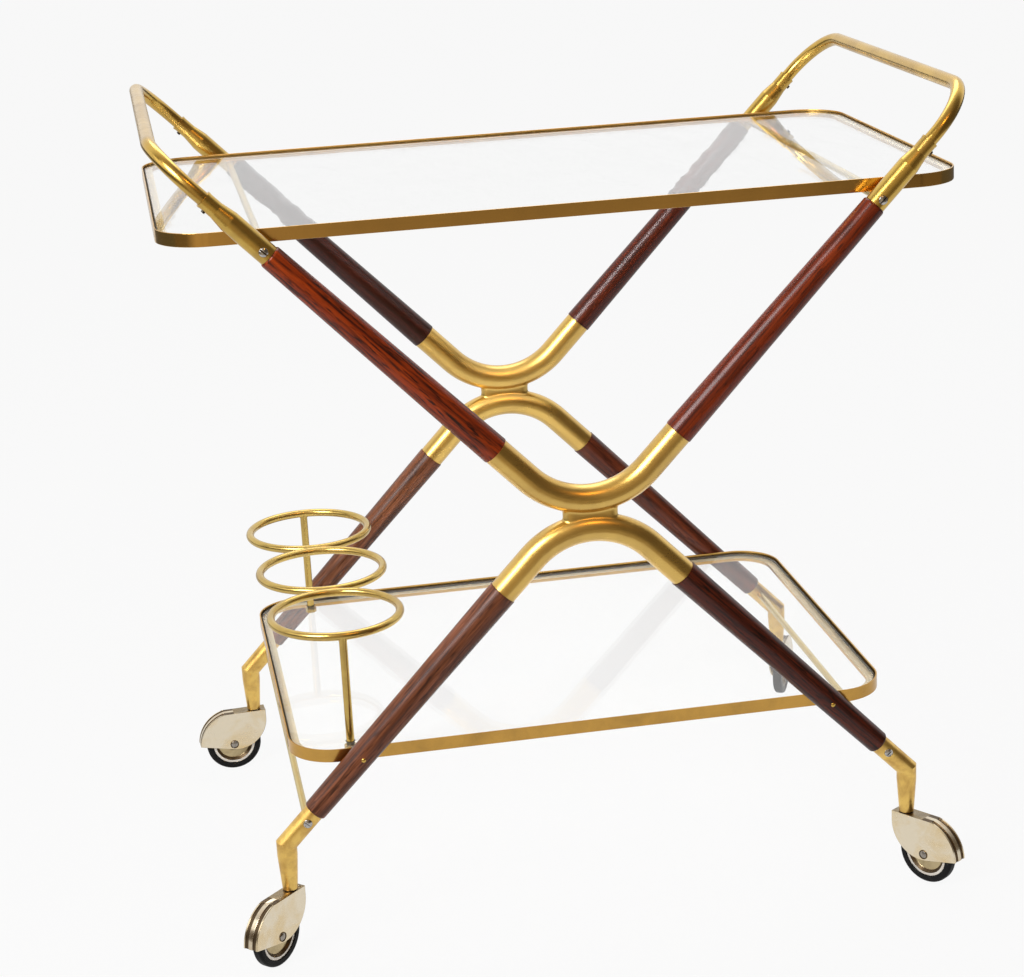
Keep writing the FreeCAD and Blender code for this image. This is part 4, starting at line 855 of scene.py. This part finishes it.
def finish_tray(tray):
    """A rounded rim with a dull flange, and the glass that lies on the flange."""
    title = tray.capitalize()
    low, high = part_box(tray + "_rim")
    half_height = (low.z + high.z) / 2

    def faces_inward(center, normal):
        return abs(normal.z) < SIDE and center.x * normal.x + center.y * normal.y < 0

    def on_flange(center, normal):
        return normal.z > LEANING and center.z < half_height

    rim = rounded_copy(tray + "_rim", "frame", sizes().rim_round, title + " rim brass")
    paint(rim, "Rim inside", faces_inward)
    paint(rim, title + " flange", on_flange)
    glass_sheet(tray + "_glass", title + " glass")


class CasterPlace:
    """Where one caster is: its hub, the direction of its axle and the way its wheel trails."""

    def __init__(self, corner):
        joints = {joint["name"]: joint for joint in frame["joints"]}
        spin = joints[corner + "_wheel_spin"]
        self.hub = Vector(spin["pos_m"])
        self.axis = Vector(spin["axis"])
        along = self.hub - Vector(joints[corner + "_swivel_turn"]["pos_m"])
        self.along = Vector((along.x, along.y, 0)).normalized()

    def across(self, point):
        """How far a point lies from the middle of the wheel along its axle."""
        return (point - self.hub).dot(self.axis)

    def reach(self, point):
        """How far a point lies from the axle's line."""
        return (point - self.hub - self.axis * self.across(point)).length


def finish_hood(corner, caster):
    """A rounded hood whose top is painted darker as painted shade and dark reflection, with a ridge painted
    light as a painted highlight between grooves painted dark as painted shade.
    """
    size = sizes()

    def on_top(center, normal):
        return normal.z > FACING and (center - caster.hub).z > size.groove_reach - size.top_step

    def on_top_line(center, normal, inner, outer):
        ahead = (center - caster.hub).dot(caster.along) > -size.groove_start
        return on_top(center, normal) and ahead and inner < abs(caster.across(center)) < outer

    def top_groove(center, normal):
        return on_top_line(center, normal, size.ridge_half, size.groove_half)

    def top_ridge(center, normal):
        return on_top_line(center, normal, 0, size.ridge_half)

    def in_groove(center, normal):
        beside_ridge = abs(caster.across(center)) > size.ridge_half - NEAR
        return beside_ridge and abs(caster.reach(center) - size.groove_reach) < size.groove_band

    def on_ridge(center, normal):
        in_middle = abs(caster.across(center)) < size.ridge_half
        raised = caster.reach(center) > size.groove_reach + size.ridge_step
        return in_middle and raised and normal.dot(center - caster.hub) > 0 and normal.z < HOOD_TOP

    hood = rounded_copy(corner + "_caster_hood", corner + "_swivel", size.edge_round, "Worn nickel",
                        seam="Hood edge")
    for place in (-size.groove_half, -size.ridge_half, size.ridge_half, size.groove_half):
        split(hood, on_top, caster.hub + caster.axis * place, caster.axis)
    split(hood, on_top, caster.hub - caster.along * size.groove_start, caster.along)
    # Painted shade over the whole top of the hood.
    paint(hood, "Worn plate", on_top)
    # Painted shade: flat strips on the top beside the ridge are painted dark for the grooves' shade.
    paint(hood, "Hood groove", top_groove)
    # Painted highlight: a light strip along the middle of the top.
    paint(hood, "Ridge nickel", top_ridge)
    # Painted shade: the floors of the modelled grooves are painted dark.
    paint(hood, "Hood groove", in_groove)
    # Painted highlight along the modelled ridge.
    paint(hood, "Ridge nickel", on_ridge)


def finish_rivet(corner, caster):
    """A rounded axle rivet whose heads have a dark ring painted around them as painted shadow."""
    edge = sizes().rivet_shadow_width
    # The rivet takes the dark seam finish, which shows as a painted shadow ring around each head.
    rivet = rounded_copy(corner + "_caster_axle", corner + "_swivel", sizes().edge_round, "Seam")
    tip = max(caster.across(vertex.co) for vertex in rivet.data.vertices)

    def on_head(face):
        return abs(face.normal.dot(caster.axis)) > SIDE and abs(caster.across(face.center)) > tip - edge

    select_only(rivet, "FACE", on_head)
    bpy.ops.mesh.inset(thickness=edge)
    bpy.ops.object.mode_set(mode="OBJECT")
    middle = {tuple(face.center) for face in rivet.data.polygons if face.select}
    paint(rivet, "Rivet steel", lambda center, normal: tuple(center) in middle)


def finish_disc(corner, caster):
    """A wheel disc in eight sectors: a bright bead that is partly painted highlight, a slope inside it and
    rounded edges painted dark as painted shade, and a dull dish that is partly painted shade.
    """
    size = sizes()
    disc = rounded_copy(corner + "_wheel_disc", corner + "_wheel", size.edge_round, "Disc bead",
                        angle=18, seam="Hood groove")
    for degrees in (0, 45, 90, 135):
        across = Matrix.Rotation(math.radians(degrees), 3, caster.axis) @ caster.along
        split(disc, lambda center, normal: True, caster.hub, across)
    # Painted shade on the slope inside the bead.
    paint(disc, "Hood groove", lambda center, normal: caster.reach(center) < size.disc_bead)
    # The dish, partly painted shade.
    paint(disc, "Disc dish", lambda center, normal: caster.reach(center) < size.disc_dish)


class CartOperator:
    """What the cart's operators have in common."""

    bl_options = {"REGISTER", "UNDO"}


class BARCART_OT_wood_rods(CartOperator, bpy.types.Operator):
    """Gives the wood rods a mahogany finish with the grain along each leg"""

    bl_idname = "barcart.wood_rods"
    bl_label = "Wood rods"

    def execute(self, context):
        for rod, tones_and_shade in ROD_TONES_AND_SHADE.items():
            slots = frame["nodes"][rod + "_rod"].data.materials
            slots.clear()
            slots.append(mahogany(rod, *tones_and_shade))
        return {"FINISHED"}


class BARCART_OT_bent_tubes(CartOperator, bpy.types.Operator):
    """Rounds and finishes the bent tubes and brazes them to the saddles at the crossings"""

    bl_idname = "barcart.bent_tubes"
    bl_label = "Bent tubes"

    def execute(self, context):
        size = sizes()
        for end in ENDS:
            saddle = f"{end}_saddle"
            bends = [f"{end}_upper_bend", f"{end}_lower_bend"]
            low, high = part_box(saddle)
            reach = Vector((size.saddle_reach, size.saddle_reach, size.saddle_depth))
            skin = brazed(f"{end}_saddle_braze", [saddle, *bends], (low + high) / 2, reach,
                          grain=size.saddle_grain, passes=24, material_name="Satin brass")
            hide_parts(saddle)
            for bend in bends:
                rounded_copy(bend, "frame", size.tube_round, "Satin brass")
        return {"FINISHED"}


class BARCART_OT_handles(CartOperator, bpy.types.Operator):
    """Gives the handles and the ferrules that hold them a bright brass finish"""

    bl_idname = "barcart.handles"
    bl_label = "Handles and ferrules"

    def execute(self, context):
        dress_nodes("Handle brass", "left_handle", "right_handle")
        size = sizes()
        slope = math.radians(LEG_SLOPE)
        places = (size.ferrule_barrel, size.ferrule_barrel + size.ferrule_cone)
        for corner in CORNERS:
            side = 1 if corner.endswith("right") else -1
            axis = Vector((side * math.cos(slope), 0, math.sin(slope)))
            rounded_copy(corner + "_ferrule", "frame", size.edge_round, "Ferrule brass",
                         rings=(axis, places))
        return {"FINISHED"}


class BARCART_OT_feet(CartOperator, bpy.types.Operator):
    """Gives the foot elbows and the stretchers an aged brass finish"""

    bl_idname = "barcart.feet"
    bl_label = "Elbows and stretchers"

    def execute(self, context):
        for side in ("left", "right"):
            dress_nodes("Rod brass", f"{side}_upper_stretcher", f"{side}_lower_stretcher")
        for corner in CORNERS:
            rounded_copy(corner + "_elbow", "frame", sizes().edge_round, "Elbow brass",
                         angle=16, seam="Seam")
        return {"FINISHED"}


class BARCART_OT_trays(CartOperator, bpy.types.Operator):
    """Rounds and finishes the tray rims and makes their sheets glass"""

    bl_idname = "barcart.trays"
    bl_label = "Trays"

    def execute(self, context):
        for tray in ("top", "lower"):
            finish_tray(tray)
        return {"FINISHED"}


class BARCART_OT_bottle_rack(CartOperator, bpy.types.Operator):
    """Finishes the bottle rings and their posts"""

    bl_idname = "barcart.bottle_rack"
    bl_label = "Bottle rings"

    def execute(self, context):
        size = sizes()
        rings = [f"{place}_bottle_ring" for place in ("front", "middle", "back")]
        dress_nodes("Ring brass", *rings, "bottle_posts")
        low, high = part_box("bottle_posts")
        reach = Vector((size.post_reach, size.post_reach, size.post_depth))
        for end, y in (("front", low.y + size.nut_radius), ("back", high.y - size.nut_radius)):
            middle = Vector(((low.x + high.x) / 2, y, high.z))
            skin = brazed(f"{end}_post_braze", ["bottle_posts", f"{end}_bottle_ring"], middle, reach,
                          grain=size.post_grain, passes=14, material_name="Ring brass")
        return {"FINISHED"}


class BARCART_OT_fasteners(CartOperator, bpy.types.Operator):
    """Finishes the screws, set screws and tray pins"""

    bl_idname = "barcart.fasteners"
    bl_label = "Fasteners"

    def execute(self, context):
        size = sizes()
        screws = rounded_copy("stretcher_screws", "frame", size.screw_round, "Screw steel", angle=40)
        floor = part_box("stretcher_screws")[1].y - size.screw_slot

        # Painted shade: the walls and floor of the screw slots are painted dark steel for the shade inside
        # them.
        def shaded_slot(center, normal):
            height = abs(center.y) - floor
            on_wall = abs(normal.y) < WALL
            on_floor = abs(normal.y) > FACING and height < NEAR
            return height > -NEAR and (on_wall or on_floor)

        paint(screws, "Dark steel", shaded_slot)
        dress_nodes("Dark steel", "handle_set_screws")
        dress_nodes("Handle brass", "lower_tray_pins")
        return {"FINISHED"}


class BARCART_OT_casters(CartOperator, bpy.types.Operator):
    """Rounds the caster hoods and finishes hoods, wheels, axles and stems"""

    bl_idname = "barcart.casters"
    bl_label = "Casters"

    def execute(self, context):
        for corner in CORNERS:
            caster = CasterPlace(corner)
            finish_hood(corner, caster)
            finish_rivet(corner, caster)
            finish_disc(corner, caster)
            dress_nodes("Dark steel", corner + "_caster_stem")
            dress_nodes("Tyre rubber", corner + "_tyre")
        return {"FINISHED"}


# Light and dark parts of the room around the camera, from its left to its right.
ROOM_STOPS = [
    (0.0, 0.10), (0.14, 0.10), (0.22, 0.55), (0.29, 0.95), (0.34, 0.95), (0.40, 0.75),
    (0.44, 0.95), (0.518, 1.0), (0.534, 0.60), (0.552, 0.42), (0.60, 0.44), (0.630, 0.64),
    (0.643, 0.34), (0.653, 0.0), (0.69, 0.0), (0.73, 0.16), (1.0, 0.16),
]
# Where the backdrop, the ceiling and the low part of the room begin and where they are full, as parts of a
# direction, and how light the last two are.
BACKDROP_SPAN = (-0.05, 0.35)
CEILING_SPAN = (0.55, 0.95)
CEILING_LEVEL = 0.12
LOW_SPAN = (0.0, -0.35)
LOW_LEVEL = 0.2
# Share of the floor's look that is its own white; the rest takes the light and the cart's shadow.
FLOOR_GLOW = 0.925
# How much of the floor's white is lost in a mirror, in the middle and out at the sides.
MIRROR_LOSS = (0.22, 0.90)
# Softboxes, with their places, what they point at, their sizes, power and colours.
SOFTBOXES = {
    "key_softbox": dict(place=(-1.35, -1.30, 1.66), aim=(0, -0.1, 0.45), width=0.95, height=0.85,
                        watts=32, tint="key_light"),
    "left_softbox": dict(place=(-1.60, -0.85, 1.15), aim=(0, -0.1, 0.4), width=2.1, height=0.9,
                         watts=6.5, tint="white_light"),
    "top_softbox": dict(place=(0.2, 1.3, 2.3), aim=(0, 0, 0.4), width=1.6, height=1.0,
                        watts=12, tint="white_light"),
}
# Small warm lamps in a row near the camera, by their places along X, and what they share.
ROOM_LAMPS = (0.3, 0.5, 0.7)
ROOM_LAMP = dict(aim=(0, 0, 0.4), width=0.07, height=0.07, watts=1.9, tint="lamp_light")
ROOM_LAMP_FRONT = -1.8
ROOM_LAMP_HEIGHT = 2.4
# The photograph's camera as fitted to the cart: lens and sensor in millimetres, shift, reach and place in
# the cart's frame, and the directions of its right, its top and its back.
CAMERA_LENS = 85.64
CAMERA_SENSOR = 36.0
CAMERA_SHIFT = (-0.0198, -0.0026)
CAMERA_REACH = 60
CAMERA_PLACE = (-0.3743, -2.1237, 1.0040)
CAMERA_RIGHT = (0.98200, -0.18257, -0.04837)
CAMERA_UP = (0.09973, 0.28375, 0.95370)
CAMERA_BACK = (-0.16039, -0.94136, 0.29685)


def eye_rays(tree, path):
    """Masks of the rays that look straight or through glass, and of these together with mirrored ones."""
    looking = math_node(tree, "MAXIMUM", path["Is Camera Ray"], path["Is Transmission Ray"])
    return looking, math_node(tree, "MAXIMUM", looking, path["Is Glossy Ray"])


def studio_world():
    """White to the eye, with a softer light, and a dim room around the camera that only metal mirrors."""
    tint = colours()
    world = bpy.data.worlds.new("Studio")
    bpy.context.scene.world = world
    world.use_nodes = True
    tree = world.node_tree
    tree.nodes.clear()
    looking, seeing = eye_rays(tree, tree.nodes.new("ShaderNodeLightPath").outputs)
    direction = xyz(tree, tree.nodes.new("ShaderNodeTexCoord").outputs["Generated"])
    behind = map_range(tree, direction["Y"], *BACKDROP_SPAN)
    above = map_range(tree, direction["Z"], *CEILING_SPAN, to_high=CEILING_LEVEL)
    around = ramp(tree, map_range(tree, direction["X"], -1.0, 1.0), ROOM_STOPS)
    low = map_range(tree, direction["Z"], *LOW_SPAN, to_high=LOW_LEVEL)
    room = mix_colour(tree, math_node(tree, "ADD", around, low), tint.room_dim, tint.room_light)
    white = math_node(tree, "MAXIMUM", looking, math_node(tree, "MAXIMUM", behind, above))
    shown = add_node(tree, "ShaderNodeBackground", Strength=1.0)
    join(tree, mix_colour(tree, white, room, tint.backdrop), shown.inputs["Color"])
    light = add_node(tree, "ShaderNodeBackground", Color=tint.soft_light, Strength=0.32)
    output = tree.nodes.new("ShaderNodeOutputWorld")
    join(tree, mix_shaders(tree, seeing, light.outputs[0], shown.outputs[0]), output.inputs["Surface"])


def floor_material():
    """Pale floor that is white to the eye and takes the cart's shadow; the metal sees only its rear part."""
    size = sizes()
    material, tree, shader, vector = new_material(
        "Studio floor", Base_Color=colours().floor, Roughness=0.9, Specular_IOR_Level=0.1
    )
    path = tree.nodes.new("ShaderNodeLightPath").outputs
    looking, seeing = eye_rays(tree, path)
    mirrored = math_node(tree, "SUBTRACT", path["Is Glossy Ray"], path["Is Transmission Ray"], clamp=True)
    place = xyz(tree, vector)
    aside = math_node(tree, "ABSOLUTE", place["X"])
    loss = map_range(tree, aside, size.floor_bright, size.floor_bright + size.floor_fade, *MIRROR_LOSS)
    strength = math_node(tree, "SUBTRACT", 1.0, math_node(tree, "MULTIPLY", mirrored, loss))
    glow = add_node(tree, "ShaderNodeEmission")
    join(tree, strength, glow.inputs["Strength"])
    glow_share = math_node(tree, "MULTIPLY", seeing, FLOOR_GLOW)
    whole = mix_shaders(tree, glow_share, shader.outputs[0], glow.outputs[0])
    front = math_node(tree, "LESS_THAN", place["Y"], -size.floor_front)
    unseen = math_node(tree, "MULTIPLY", front, math_node(tree, "SUBTRACT", 1.0, looking, clamp=True))
    clear = add_node(tree, "ShaderNodeBsdfTransparent")
    join(tree, mix_shaders(tree, unseen, whole, clear.outputs[0]), surface_input(tree))
    return material


def add_softbox(name, place, aim, width, height, watts, tint):
    """A rectangular lamp that points at a place."""
    lamp = bpy.data.lights.new(name, "AREA")
    lamp.shape = "RECTANGLE"
    lamp.size = width
    lamp.size_y = height
    lamp.energy = watts
    lamp.color = getattr(colours(), tint)[:3]
    box = bpy.data.objects.new(name, lamp)
    box.location = place
    box.rotation_euler = (Vector(aim) - Vector(place)).to_track_quat("-Z", "Y").to_euler()
    bpy.context.scene.collection.objects.link(box)


def add_camera():
    """The photograph's camera, made the scene's own."""
    lens = bpy.data.cameras.new("photo_camera")
    lens.lens = CAMERA_LENS
    lens.sensor_width = CAMERA_SENSOR
    lens.shift_x, lens.shift_y = CAMERA_SHIFT
    lens.clip_end = CAMERA_REACH
    camera = bpy.data.objects.new("photo_camera", lens)
    turn = Matrix((CAMERA_RIGHT, CAMERA_UP, CAMERA_BACK)).transposed().to_4x4()
    camera.matrix_world = Matrix.Translation(CAMERA_PLACE) @ turn
    bpy.context.scene.collection.objects.link(camera)
    bpy.context.scene.camera = camera


class BARCART_OT_stage(CartOperator, bpy.types.Operator):
    """Adds the pale floor, the studio light and the camera"""

    bl_idname = "barcart.stage"
    bl_label = "Stage"

    def execute(self, context):
        context.scene.view_settings.view_transform = "Standard"
        studio_world()
        bpy.ops.object.select_all(action="DESELECT")
        bpy.ops.mesh.primitive_plane_add(size=2 * sizes().floor_half, location=(0, 0, 0))
        floor = context.view_layer.objects.active
        floor.name = "studio_floor"
        floor.data.materials.append(floor_material())
        for name, values in SOFTBOXES.items():
            add_softbox(name, **values)
        for index, x in enumerate(ROOM_LAMPS):
            add_softbox(f"room_lamp_{index}", (x, ROOM_LAMP_FRONT, ROOM_LAMP_HEIGHT), **ROOM_LAMP)
        add_camera()
        return {"FINISHED"}


OPERATORS = [
    BARCART_OT_wood_rods,
    BARCART_OT_bent_tubes,
    BARCART_OT_handles,
    BARCART_OT_feet,
    BARCART_OT_trays,
    BARCART_OT_bottle_rack,
    BARCART_OT_fasteners,
    BARCART_OT_casters,
    BARCART_OT_stage,
]


class BARCART_PT_panel(bpy.types.Panel):
    """Lists the cart's operators, colours and sizes"""

    bl_idname = "BARCART_PT_panel"
    bl_label = "Bar cart"
    bl_space_type = "VIEW_3D"
    bl_region_type = "UI"
    bl_category = "Bar cart"

    def draw(self, context):
        for operator in OPERATORS:
            self.layout.operator(operator.bl_idname)
        for group in (context.scene.cart_colours, context.scene.cart_sizes):
            for name in group.__annotations__:
                self.layout.prop(group, name)


CLASSES = [CartColours, CartSizes, *OPERATORS, BARCART_PT_panel]


def register():
    for item in CLASSES:
        bpy.utils.register_class(item)
    bpy.types.Scene.cart_colours = bpy.props.PointerProperty(type=CartColours)
    bpy.types.Scene.cart_sizes = bpy.props.PointerProperty(type=CartSizes)


def unregister():
    del bpy.types.Scene.cart_sizes
    del bpy.types.Scene.cart_colours
    for item in reversed(CLASSES):
        bpy.utils.unregister_class(item)


def main():
    register()
    for operator in OPERATORS:
        family, name = operator.bl_idname.split(".")
        getattr(getattr(bpy.ops, family), name)()
    bpy.context.view_layer.update()


if __name__ == "__main__":
    main()
